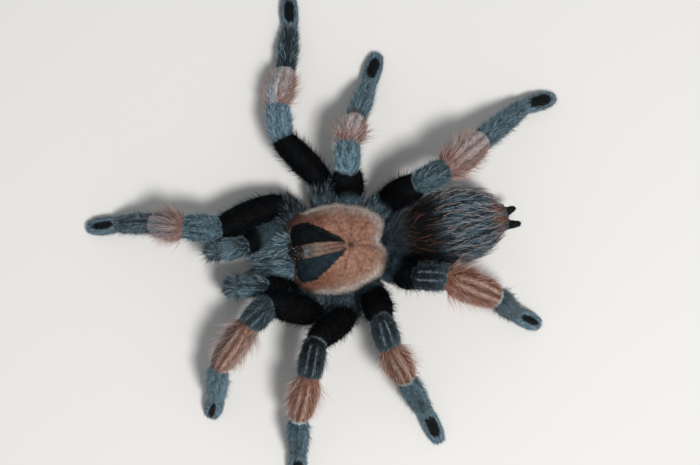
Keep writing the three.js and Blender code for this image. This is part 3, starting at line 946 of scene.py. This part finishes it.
source = new_object("carapace_source", *node_mesh("carapace"))
carapace = remeshed(source, **CARAPACE_MESH, name="carapace_shell")
corners, normals, _ = mesh_arrays(carapace.data)
pressed = furrow_depths(corners, normals) + VELVET_DEPTH * (1 - on_mound(corners))
corners -= normals * pressed[:, None]
moved(carapace, corners)
paint(carapace, carapace_colour(corners) * SKIN_SHADE["carapace"])

# ---- Eyes: smooth balls in the places and sizes of the CAD ones.
EYE_BULGE = 0.03  # how much further than an oval's the top of an eye stands out
eyes = []
for node in EYE_NODES:
    low, high = (np.array(corner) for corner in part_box(node))
    bpy.ops.mesh.primitive_uv_sphere_add(segments=32, ring_count=20, radius=1, location=(0, 0, 0))
    ball = bpy.context.object
    ball.name = node.replace("eye", "eyeball")
    radii, middle = (high - low) / 2, (high + low) / 2
    for corner in ball.data.vertices:
        bulge = 1 + EYE_BULGE * max(0.0, corner.co.z) ** 4
        corner.co = Vector(np.array(corner.co) * radii * bulge + middle)
    ball.data.shade_smooth()
    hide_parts(node)
    eyes.append(ball)

corners, _, _ = mesh_arrays(skin.data)
owner, place = place_on(corners)
paint(skin, markings(bone_values(owner, "kind"), place) * SKIN_SHADE["body"])

# ---- The coat: closed three-sided hairs, each a small patch of the unwrapped skin in the map OFBake.
PATCH = 0.003  # the size of a hair's patch of the map
ROOT_SINK = 0.08  # how deep a hair's root lies in the skin
FLOOR_CLEARANCE = 0.02
FELT, COMBED, LONG = range(3)
# Layers of hair on each kind of skin: hairs on a square millimetre, length, lift in degrees, half width,
# the part of the lift that is lost at the tip, and the straight pieces of a hair.
LAYERS = {
    FELT: {
        "coxa": (9, 0.80, 36, 0.050, 0, 1),
        "femur": (20, 0.66, 50, 0.048, 0, 1),
        "patella": (17, 0.66, 32, 0.048, 0, 1),
        "tibia": (15, 0.70, 28, 0.046, 0, 1),
        "metatarsus": (17, 0.64, 34, 0.046, 0, 1),
        "tarsus": (24, 0.52, 38, 0.040, 0, 1),
        "abdomen": (16, 0.95, 24, 0.055, 0, 1),
        "jaw": (14, 0.75, 34, 0.050, 0, 1),
        "waist": (10, 0.45, 30, 0.042, 0, 1),
        "spinneret": (26, 0.36, 34, 0.040, 0, 1),
        "breast": (8, 0.65, 34, 0.048, 0, 1),
    },
    COMBED: {
        "coxa": (9.0, 1.80, 36, 0.046, 0.5, 2),
        "femur": (2.2, 1.10, 52, 0.045, 0.3, 2),
        "patella": (5.5, 1.30, 34, 0.052, 0.4, 2),
        "tibia": (8.5, 2.20, 22, 0.045, 0.4, 2),
        "metatarsus": (7.5, 1.50, 32, 0.048, 0.4, 2),
        "tarsus": (4.5, 0.90, 42, 0.042, 0.4, 2),
        "abdomen": (3.0, 1.80, 22, 0.060, 0.7, 2),
        "jaw": (14.0, 2.40, 24, 0.043, 0.5, 2),
        "waist": (2.0, 0.80, 30, 0.034, 0.5, 2),
        "spinneret": (3.0, 0.60, 36, 0.036, 0.5, 2),
        "breast": (2.5, 1.10, 40, 0.040, 0.6, 2),
    },
    LONG: {
        "coxa": (1.6, 3.00, 38, 0.042, 0.4, 3),
        "femur": (2.0, 2.10, 58, 0.044, 0.3, 2),
        "patella": (1.6, 2.00, 50, 0.042, 0.4, 2),
        "tibia": (3.2, 3.60, 46, 0.038, 0.35, 3),
        "metatarsus": (2.4, 2.20, 46, 0.038, 0.4, 2),
        "jaw": (1.2, 3.00, 38, 0.044, 0.4, 3),
        "abdomen": (3.0, 4.40, 20, 0.041, 1.25, 5),
    },
}
PLATE_HAIRS = {"density": 48, "length": 0.42, "lift": 26.0, "half_width": 0.034}
RIM_HAIRS = {
    "share": 0.5, "length": 1.3, "lift": 26.0, "half_width": 0.032, "settle": 0.6, "paling": 0.6
}
WAVES = {"abdomen": 0.14, "coxa": 0.15, "jaw": 0.15, "tibia": 0.08}  # sideways bends of the long hairs
WAVE_STEP = 2.2  # radians of such a bend from one straight piece to the next
THINNING = 0.7  # the power by which a hair thins out towards its tip
PATCH_NARROWING = 0.6  # how much narrower a hair's patch of the map is at the tip
ROOT_SHADE_TIP_LIGHT = {"root": 0.65, "tip": 1.25}  # painted shade at a hair's root, where the coat shades itself, and painted light at its tip, as factors of its colour
BLOCK_MARGIN = 0.03
PLATE_MAP = {"reach": 20, "margin": 0.02}
BELOW_PLATE = {"reach": 0.86, "depth": 1.6}  # where the carapace hides the skin, so that no hair grows there
# Times the length of a hair, at a segment's base and at its end.
TAPER = {"tibia": (1.25, 0.6), "metatarsus": (1.2, 0.7), "abdomen": (1.0, 0.7)}
UNDERSIDE_ANGLE = 2.2
UNDERSIDE_SHARE = 0.5  # of these numbers of hairs grow on the underside
UPPER_WHISKERS = 0.2  # of the tibia's long hairs grow on its upper side, the others on its flanks
STEEPEST = 70  # degrees, the most that a hair stands up
PALP_LIFT = 0.6  # of the lift on the legs
PALP_LENGTH = 1.35  # times the combed hairs of the legs
OVERHANG = 0.35  # how far a segment's hairs reach over the next one
TIBIA_END = -0.55  # the tibia's hairs end before its pale ring
ENDS_AT_JOINT = ("femur", "patella", "tibia", "metatarsus", "abdomen")
SHORTEST = 0.4  # the least length of a hair that has to end at its joint
CEILING = cad_box[1][2] / MM + 0.55  # the highest that a hair may stand
# The scatter of the hairs.
SPREAD = {"length": 0.22, "lift": 0.22, "half_width": 0.15}  # in shares of the average
SPREAD_LIMITS = (0.45, 1.7)  # times the average
SIDEWAYS = {"skin": 0.24, "plate": 0.35, "rim": 0.3}  # how far the hairs turn aside from the lie
# For the carapace's hairs: painted shade at the root and painted light at the tip, as factors of the colour,
# and the scatter of the hairs' tones with its limits.
PLATE_ROOT_SHADE_TIP_LIGHT_AND_TONES = {"root": 0.8, "tip": 1.15, "spread": 0.12, "limits": (0.6, 1.5)}


class Coat:
    """Gathers hairs of one piece until they are built into a mesh."""

    def __init__(self):
        self.points, self.triangles, self.colours, self.patches, self.count = [], [], [], [], 0

    def grow(self, roots, normals, lie, shape, tones, places):
        """Adds a hair at each root.

        The shape is length, lift, settling of the lift, half width, straight pieces and wave, the tones are
        the colours at root and tip, and the places are those of the roots in the map.
        """
        length, lift, settle, width, steps, wave = shape
        phase = RANDOM.uniform(0, 2 * math.pi, len(roots))
        at = roots - normals * ROOT_SINK
        rows, colours, spots = [], [], []
        for row in range(steps + 1):
            share = row / steps
            pitch = lift * (1 - settle * min(row, steps - 1) / max(steps - 1, 1))
            along = lie * np.cos(pitch)[:, None] + normals * np.sin(pitch)[:, None]
            across = unit(np.cross(along, normals))
            along = unit(along + across * (wave * np.sin(phase + WAVE_STEP * row))[:, None])
            upward = np.cross(along, across)
            radius = (width * (1 - share) ** THINNING)[:, None]
            narrowing = PATCH_NARROWING * share
            for index in range(1 if row == steps else 3):
                turn = index * 2 * math.pi / 3
                rows.append(at + radius * (across * math.cos(turn) + upward * math.sin(turn)))
                colours.append(tones[0] * (1 - share) + tones[1] * share)
                side = 0.5 if row == steps else index / 2 * (1 - narrowing) + narrowing / 2
                spots.append(places + PATCH * (np.array([side, share]) - 0.5))
            at = at + along * (length / steps)[:, None]
        points = np.stack(rows, axis=1)
        points[..., 2] = np.clip(points[..., 2], FLOOR_CLEARANCE, CEILING)
        starts = self.count + np.arange(len(roots)) * len(rows)
        faces = self.faces(steps, len(rows) - 1)
        self.points.append(points.reshape(-1, 3))
        self.triangles.append((starts[:, None, None] + np.array(faces)[None]).reshape(-1, 3))
        self.colours.append(np.stack(colours, axis=1).reshape(-1, 3))
        self.patches.append(np.stack(spots, axis=1).reshape(-1, 2))
        self.count += points.shape[0] * points.shape[1]

    @staticmethod
    def faces(steps, tip):
        """The triangles of one hair, from its root's face to its tip."""
        faces = [(0, 2, 1)]
        for row in range(steps):
            for index in range(3):
                a, b = 3 * row + index, 3 * row + (index + 1) % 3
                faces += [(a, b, tip)] if row == steps - 1 else [(a, b, b + 3), (a, b + 3, a + 3)]
        return faces

    def build(self, name, slot, material):
        triangles = np.concatenate(self.triangles)
        piece = new_object(name, np.concatenate(self.points), triangles, slot)
        paint(piece, np.concatenate(self.colours))
        patches = np.concatenate(self.patches)[triangles.ravel()]
        layer = piece.data.uv_layers.new(name="OFBake")
        layer.uv.foreach_set("vector", np.clip(patches, 0, 1).ravel())
        piece.data.materials.append(material)
        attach(piece, "root")


def scattered(surface, density):
    """Random points on a surface, with its normals there."""
    corners, normals, triangles = surface
    a, b, c = corners[triangles].transpose(1, 0, 2)
    area = np.linalg.norm(np.cross(b - a, c - a), axis=1) / 2
    picked = triangles[RANDOM.choice(len(triangles), int(area.sum() * density), p=area / area.sum())]
    u, v = RANDOM.random((2, len(picked)))
    flip = u + v > 1
    u[flip], v[flip] = 1 - u[flip], 1 - v[flip]
    weights = np.column_stack([1 - u - v, u, v])[..., None]
    return (corners[picked] * weights).sum(axis=1), unit((normals[picked] * weights).sum(axis=1))


def lying(direction, normals, sideways):
    """Directions laid on the surface, each turned a little aside."""
    flat = unit(direction - normals * (direction * normals).sum(axis=1, keepdims=True))
    aside = np.cross(normals, flat)
    return unit(flat + aside * RANDOM.normal(0, sideways, (len(flat), 1)))


def spread(value, number, what):
    """Numbers about a value, with the scatter that a hair's length, lift or half width has."""
    return value * np.clip(RANDOM.normal(1, SPREAD[what], number), *SPREAD_LIMITS)


def hidden_below_carapace(points):
    inside = reach_in(points, carapace_middle, carapace_half) < BELOW_PLATE["reach"]
    return inside & (points[:, 2] > carapace_low[2] - BELOW_PLATE["depth"])


def blocks(owner, p):
    """Each bone's skin laid out flat as a block of the map: along it one way and round it the other."""
    members = np.unique(owner)
    columns = math.ceil(math.sqrt(len(members)))
    number = np.searchsorted(members, owner)
    inner_u = BLOCK_MARGIN + (1 - 2 * BLOCK_MARGIN) * p.share
    inner_v = BLOCK_MARGIN + (1 - 2 * BLOCK_MARGIN) * (p.angle / (2 * math.pi) + 0.5)
    return np.column_stack([number % columns + inner_u, number // columns + inner_v]) / columns


# ---- Colours of the hairs: the skin's markings at their roots, varied by a chance from hair to hair.
def streaky(colours, pale, chance, amount):
    """Mostly the skin's own colour, with some pale hairs among dark ones."""
    return mix(colours * (0.3 + 1.0 * chance[:, None]), pale, amount * ramp(chance, 0.55, 0.9))


def femur_hairs(layer, p, colours, chance):
    edge = flank(p, 0.9, 1.4) * ramp(chance, 0.4, 0.9) * (layer == LONG)
    result = mix(INK * 0.5, SLATE, by_side(p, 0.9, 0.3) * edge)
    return mix(result, colours, ramp(colours[:, 2], 0.03, 0.08))


def tibia_hairs(layer, p, colours, chance):
    if layer == LONG:
        paling = by_side(p, ramp(chance, 0.4, 0.95), ramp(chance, 0.15, 0.65))
        result = mix(mix(RUST, ROSE * [1.0, 0.93, 0.85], chance), PALE_ROSE, paling)
    else:
        strand = mix(PALE_ROSE * [1.1, 1.0, 0.9], ASH, per_limb(TIBIA_ASH, p))
        strand = mix(strand, FROST * 1.3, far(p, 0.88, 0.93) * (p.limb > 1))
        result = mix(colours * (0.55 + 0.7 * chance[:, None]), strand, 0.75 * ramp(chance, 0.7, 0.95))
    on_palp = streaky(colours * 0.7, FROST * 1.2, chance, 0.95 * ramp(colours[:, 2], 0.02, 0.12))
    return np.where((p.limb == PALP)[:, None], on_palp, result)


def abdomen_hairs(layer, p, colours, chance):
    if layer != LONG:
        return streaky(colours, FROST * 0.7, chance, 0.7 * far(p, 0.36, 0.52) * near(p, 0.84, 0.92))
    front = near(p, 0.33, 0.5)
    strand = mix(RUST * 1.2, WHITISH, 1 - front)
    strand = mix(strand, WHITISH, flank(p, 0.8, 1.2) * 0.85)
    strand = mix(strand, RUST, far(p, 0.82, 0.90) * (1 - flank(p, 0.8, 1.4)) * 0.8)
    return mix(colours, strand, ramp(chance - 0.16 * front, 0.60, 0.76) * far(p, 0.05, 0.16))


def layer_colours(layer, kind, p, colours):
    """Colours of the hairs of one layer on one kind of skin."""
    chance = RANDOM.random(len(colours))
    pale = FROST * np.clip(per_limb(TONES["patella"], p), 0.3, 1.3)[:, None]
    if layer == FELT:
        least, most = (0.7, 1.3) if kind == "tibia" else (0.35, 1.65)
        result = colours * (least + (most - least) * chance[:, None])
    elif kind == "femur":
        result = femur_hairs(layer, p, colours, chance)
    elif kind == "tibia":
        result = tibia_hairs(layer, p, colours, chance)
    elif kind == "abdomen":
        result = abdomen_hairs(layer, p, colours, chance)
    elif kind == "coxa":
        result = streaky(colours * 0.7, pale, chance**2.2, 0.85)
    elif kind == "tarsus":
        result = streaky(colours, FROST, chance, 0.5 * ramp(colours[:, 2], 0.02, 0.1))
    elif kind == "metatarsus":
        result = streaky(colours, pale, chance, 0.85 * ramp(colours[:, 2], 0.02, 0.12))
    elif kind == "jaw":
        result = streaky(colours * 0.75, FROST * 1.7, chance, 1.0)
    elif kind == "patella":
        result = streaky(colours * np.where(p.limb == PALP, 0.7, 1.0)[:, None], pale, chance, 0.85)
    else:
        result = colours
    return shaded(result, flank(p, 2.0, 2.7))


# ---- Materials.
def set_inputs(node, **values):
    """Sets a node's sockets. An underscore stands for a space in their names."""
    for name, value in values.items():
        node.inputs[name.replace("_", " ")].default_value = value


def new_material(name, roughness, specular):
    material = bpy.data.materials.new(name)
    material.use_nodes = True
    shader = material.node_tree.nodes["Principled BSDF"]
    set_inputs(shader, Roughness=roughness, Specular_IOR_Level=specular)
    return material, material.node_tree, shader


def noise(tree, scale, detail=2.0):
    """Uneven values all over the object."""
    where = tree.nodes.new("ShaderNodeTexCoord")
    texture = tree.nodes.new("ShaderNodeTexNoise")
    set_inputs(texture, Scale=scale, Detail=detail)
    tree.links.new(where.outputs["Object"], texture.inputs["Vector"])
    return texture.outputs["Fac"]


def hair_material(name, roughness, grain=0.2, specular=0.4, grain_scale=1400.0):
    """The painted colour with a fine uneven grain, as tufts differ."""
    material, tree, shader = new_material(name, roughness, specular)
    colour = tree.nodes.new("ShaderNodeAttribute")
    colour.attribute_name = "coat_colour"
    level = tree.nodes.new("ShaderNodeMapRange")
    set_inputs(level, From_Min=0.3, From_Max=0.7, To_Min=1 - grain, To_Max=1 + grain)
    tree.links.new(noise(tree, grain_scale, 3.0), level.inputs["Value"])
    scaled = tree.nodes.new("ShaderNodeVectorMath")
    scaled.operation = "SCALE"
    tree.links.new(colour.outputs["Color"], scaled.inputs[0])
    tree.links.new(level.outputs["Result"], scaled.inputs["Scale"])
    tree.links.new(scaled.outputs["Vector"], shader.inputs["Base Color"])
    return material


def skin_material(name, roughness, bump_scale, bump_depth):
    """Like hair, with a fine bump."""
    material = hair_material(name, roughness, 0.4, specular=0.12)
    tree = material.node_tree
    bump = tree.nodes.new("ShaderNodeBump")
    set_inputs(bump, Strength=0.6, Distance=bump_depth * MM)
    tree.links.new(noise(tree, bump_scale, 6.0), bump.inputs["Height"])
    tree.links.new(bump.outputs["Normal"], tree.nodes["Principled BSDF"].inputs["Normal"])
    return material


def gloss_material(name, colour, roughness, specular=0.6):
    """A dark horny gloss, uneven in tone."""
    material, tree, shader = new_material(name, roughness, specular)
    tones = tree.nodes.new("ShaderNodeValToRGB")
    for element, lightness in zip(tones.color_ramp.elements, (1, 3)):
        element.color = (*(lightness * value for value in colour), 1)
    tree.links.new(noise(tree, 2600.0), tones.inputs["Fac"])
    tree.links.new(tones.outputs["Color"], shader.inputs["Base Color"])
    return material


skin.data.materials.append(skin_material("skin", 0.8, 2600, 0.12))
carapace.data.materials.append(skin_material("carapace_velvet", 0.75, 3400, 0.10))
carapace.data.materials.append(gloss_material("mound_gloss", (0.006, 0.004, 0.0035), 0.42, 0.2))
corners, _, triangles = mesh_arrays(carapace.data)
is_mound = on_mound(corners[triangles].mean(axis=1)) > 0.5
carapace.data.polygons.foreach_set("material_index", is_mound.astype(int))
eye_gloss = gloss_material("eye_gloss", (0.006, 0.005, 0.006), 0.06)
for ball in eyes:
    ball.data.materials.append(eye_gloss)
fang_gloss = gloss_material("fang_gloss", (0.010, 0.006, 0.005), 0.22)
for side in SIDES:
    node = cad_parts[f"fang_{side}"]
    node.data.materials.clear()
    node.data.materials.append(fang_gloss)
HAIR_MATERIALS = {
    "velvet_hair": hair_material("velvet_hair", 0.8, 0.3, specular=0.03),
    "slate_hair": hair_material("slate_hair", 0.45),
    "rose_hair": hair_material("rose_hair", 0.45),
    "carapace_hair": hair_material("carapace_hair", 0.7, 0.12, grain_scale=4200.0),
    "abdomen_hair": hair_material("abdomen_hair", 0.45),
}

# ---- Growing the coat.
PIECES = {  # a piece's slot, and the kinds of skin that it covers
    "femora": ("velvet_hair", "femur"),
    "patellae": ("slate_hair", "patella"),
    "tibiae": ("rose_hair", "tibia"),
    "feet": ("slate_hair", "metatarsus", "tarsus"),
    "coxae": ("slate_hair", "coxa", "breast", "waist"),
    "jaws": ("slate_hair", "jaw"),
    "abdomen": ("abdomen_hair", "abdomen"),
    "spinnerets": ("velvet_hair", "spinneret"),
    "carapace": ("carapace_hair",),
}
BOTH_SIDES = ("femora", "patellae", "tibiae", "feet", "coxae")
PIECE_OF_KIND = {kind: name for name, (_, *kinds) in PIECES.items() for kind in kinds}


def piece_name(kind, x, side):
    name = PIECE_OF_KIND[kind]
    if name in BOTH_SIDES:
        return f"{name}_{'left' if (side or x - carapace_middle[0]) > 0 else 'right'}"
    return name


def kept_roots(layer, table, roots):
    """Which of the scattered roots carry a hair of a layer, with their bones and Places."""
    owner, place = place_on(roots)
    kinds = bone_values(owner, "kind")
    density = np.array([table[kind][0] if kind in table else 0 for kind in kinds])
    keep = RANDOM.random(len(roots)) < density / max(row[0] for row in table.values())
    keep &= ~hidden_below_carapace(roots)
    upper = np.abs(place.angle) < UNDERSIDE_ANGLE
    keep &= upper | (RANDOM.random(len(roots)) < UNDERSIDE_SHARE)
    if layer == LONG:
        on_flank = UPPER_WHISKERS + (1 - UPPER_WHISKERS) * flank(place, 0.5, 1.1)
        keep &= (kinds != "tibia") | (RANDOM.random(len(roots)) < on_flank)
    return keep, owner, place


def hair_shape(layer, kind, p, left_of_bone):
    """The shape of the hairs of one layer on one kind of skin, as Coat.grow takes it."""
    _, length, lift, width, settle, steps = LAYERS[layer][kind]
    number = len(p.share)
    lengths = spread(length, number, "length") * np.interp(p.share, (0, 1), TAPER.get(kind, (1, 1)))
    lifts = np.radians(np.minimum(spread(lift, number, "lift"), STEEPEST))
    if kind in ("patella", "tibia"):
        on_palp = p.limb == PALP
        lifts = lifts * np.where(on_palp, PALP_LIFT, 1.0)
        lengths = lengths * np.where(on_palp & (layer == COMBED), PALP_LENGTH, 1.0)
    if kind in ENDS_AT_JOINT:
        lengths = np.clip(left_of_bone / np.cos(lifts), SHORTEST, lengths)
    return lengths, lifts, settle, width, steps, WAVES.get(kind, 0.0) * (layer == LONG)


coats = {}
skin_surface = mesh_arrays(skin.data)
for layer, table in LAYERS.items():
    roots, root_normals = scattered(skin_surface, max(row[0] for row in table.values()))
    keep, owner, place = kept_roots(layer, table, roots)
    roots, root_normals, owner, place = roots[keep], root_normals[keep], owner[keep], chosen(place, keep)
    kinds = bone_values(owner, "kind")
    colours = markings(kinds, place)
    lie = lying(bone_values(owner, "lie"), root_normals, SIDEWAYS["skin"])
    names = np.array([piece_name(*row) for row in zip(kinds, roots[:, 0], place.side)])
    overhang = np.where(kinds == "tibia", TIBIA_END, OVERHANG)
    left_of_bone = (1 - place.share) * bone_values(owner, "length") + overhang
    map_places = blocks(owner, place)
    for name in np.unique(names):
        coat = coats.setdefault(name, Coat())
        for kind in np.unique(kinds[names == name]):
            mine = (names == name) & (kinds == kind)
            here = chosen(place, mine)
            *shape, width, steps, wave = hair_shape(layer, kind, here, left_of_bone[mine])
            shades = layer_colours(layer, kind, here, colours[mine])
            widths = spread(width, len(shades), "half_width")
            # Each hair's colour gets painted shade at its root and painted light at its tip.
            coat.grow(
                roots[mine], root_normals[mine], lie[mine], (*shape, widths, steps, wave),
                (shades * ROOT_SHADE_TIP_LIGHT["root"], shades * ROOT_SHADE_TIP_LIGHT["tip"]), map_places[mine],
            )

# Velvet on the carapace, combed away from its pit, and a pale fringe round its edge.
roots, root_normals = scattered(mesh_arrays(carapace.data), PLATE_HAIRS["density"])
keep = (on_mound(roots) < 0.3) & (root_normals[:, 2] > -0.3)
roots, root_normals = roots[keep], root_normals[keep]
distance, angle = plate_place(roots)
map_places = np.column_stack([angle / (2 * math.pi) + 0.5, np.clip(distance / PLATE_MAP["reach"], 0, 1)])
map_places = map_places * (1 - 2 * PLATE_MAP["margin"]) + PLATE_MAP["margin"]
colours = carapace_colour(roots)
outward = np.column_stack([roots[:, :2] - PIT, np.zeros(len(roots))])
tone = np.clip(RANDOM.normal(1, PLATE_ROOT_SHADE_TIP_LIGHT_AND_TONES["spread"], (len(roots), 1)), *PLATE_ROOT_SHADE_TIP_LIGHT_AND_TONES["limits"])
coats["carapace"] = Coat()


def plate_shape(hairs, number, settle, steps):
    """The shape of the carapace's hairs, as Coat.grow takes it."""
    lengths = spread(hairs["length"], number, "length")
    lifts = np.radians(spread(hairs["lift"], number, "lift"))
    return lengths, lifts, settle, spread(hairs["half_width"], number, "half_width"), steps, 0.0


lie = lying(unit(outward), root_normals, SIDEWAYS["plate"])
shape = plate_shape(PLATE_HAIRS, len(roots), 0.0, 1)
# The velvet's hairs get painted shade at their roots and painted light at their tips.
tones = (colours * tone * PLATE_ROOT_SHADE_TIP_LIGHT_AND_TONES["root"], colours * tone * PLATE_ROOT_SHADE_TIP_LIGHT_AND_TONES["tip"])
coats["carapace"].grow(roots, root_normals, lie, shape, tones, map_places)
at_rim = (plate_rim(roots) > 0.5) & (RANDOM.random(len(roots)) < RIM_HAIRS["share"])
roots, root_normals, colours = roots[at_rim], root_normals[at_rim], colours[at_rim]
fringed = 1 - front_part(distance * np.cos(angle))[at_rim]
lie = lying(unit(outward[at_rim]), root_normals, SIDEWAYS["rim"])
shape = plate_shape(RIM_HAIRS, len(roots), RIM_HAIRS["settle"], 2)
# The fringe's hairs get painted shade at their roots, and their tips pale towards the fringe's colour.
tones = (colours * PLATE_ROOT_SHADE_TIP_LIGHT_AND_TONES["root"], mix(colours, FRINGE, RIM_HAIRS["paling"] * fringed))
coats["carapace"].grow(roots, root_normals, lie, shape, tones, map_places[at_rim])

for name, coat in sorted(coats.items()):
    slot = PIECES[name if name in PIECES else name.rsplit("_", 1)[0]][0]
    coat.build(f"coat_{name}", slot, HAIR_MATERIALS[slot])
for piece in (skin, carapace, *eyes):
    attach(piece, "root")
FLESH = [
    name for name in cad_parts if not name.startswith(("eye_", "fang_")) and name != "carapace"
]
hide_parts(*FLESH)
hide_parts("carapace")

# ---- Camera: above the animal's left side, its head to the left of the picture.
VIEW = {"from": (0.0393, -0.0039, 0.4177), "to": (-0.0040, 0.0033, 0.0), "lens": 97.2, "sensor": 36.0}
RIGHT = Vector((0.165, 0.986, 0.0))  # the picture's right-hand direction
centre = Vector((carapace_middle[0] * MM, carapace_middle[1] * MM, 0))
camera = in_scene("camera", bpy.data.cameras.new("camera"))
camera.location = centre + Vector(VIEW["from"])
sight = (centre + Vector(VIEW["to"]) - camera.location).normalized()
right = (RIGHT - sight * RIGHT.dot(sight)).normalized()
upward = right.cross(sight)
camera.rotation_euler = Matrix((right, upward, -sight)).transposed().to_euler()
camera.data.lens = VIEW["lens"]
camera.data.sensor_width = VIEW["sensor"]
camera.data.clip_start = 0.01
bpy.context.scene.camera = camera

# ---- Floor and light: a pale floor, soft daylight all round and one large lamp from the animal's left.
LAMP = {"at": (0.26, 0.14, 0.66), "size": 0.15, "watts": 4.6}
SKY = {"Color": (0.92, 0.96, 1.0, 1), "Strength": 0.40}
FLOOR = {"size": 4.0, "colour": (0.72, 0.70, 0.67, 1), "roughness": 0.9, "specular": 0.2}

bpy.ops.mesh.primitive_plane_add(size=FLOOR["size"], location=(0, 0, 0))
floor = bpy.context.object
floor.name = "floor"
floor_material, _, floor_shader = new_material("floor", FLOOR["roughness"], FLOOR["specular"])
set_inputs(floor_shader, Base_Color=FLOOR["colour"])
floor.data.materials.append(floor_material)
light = bpy.data.lights.new("key", "AREA")
light.shape = "DISK"
light.size = LAMP["size"]
light.energy = LAMP["watts"]
holder = in_scene("key", light)
holder.location = LAMP["at"]
holder.rotation_euler = (-Vector(LAMP["at"])).to_track_quat("-Z", "Y").to_euler()
world = bpy.data.worlds.new("studio")
world.use_nodes = True
set_inputs(world.node_tree.nodes["Background"], **SKY)
bpy.context.scene.world = world
bpy.context.scene.view_settings.view_transform = "Standard"
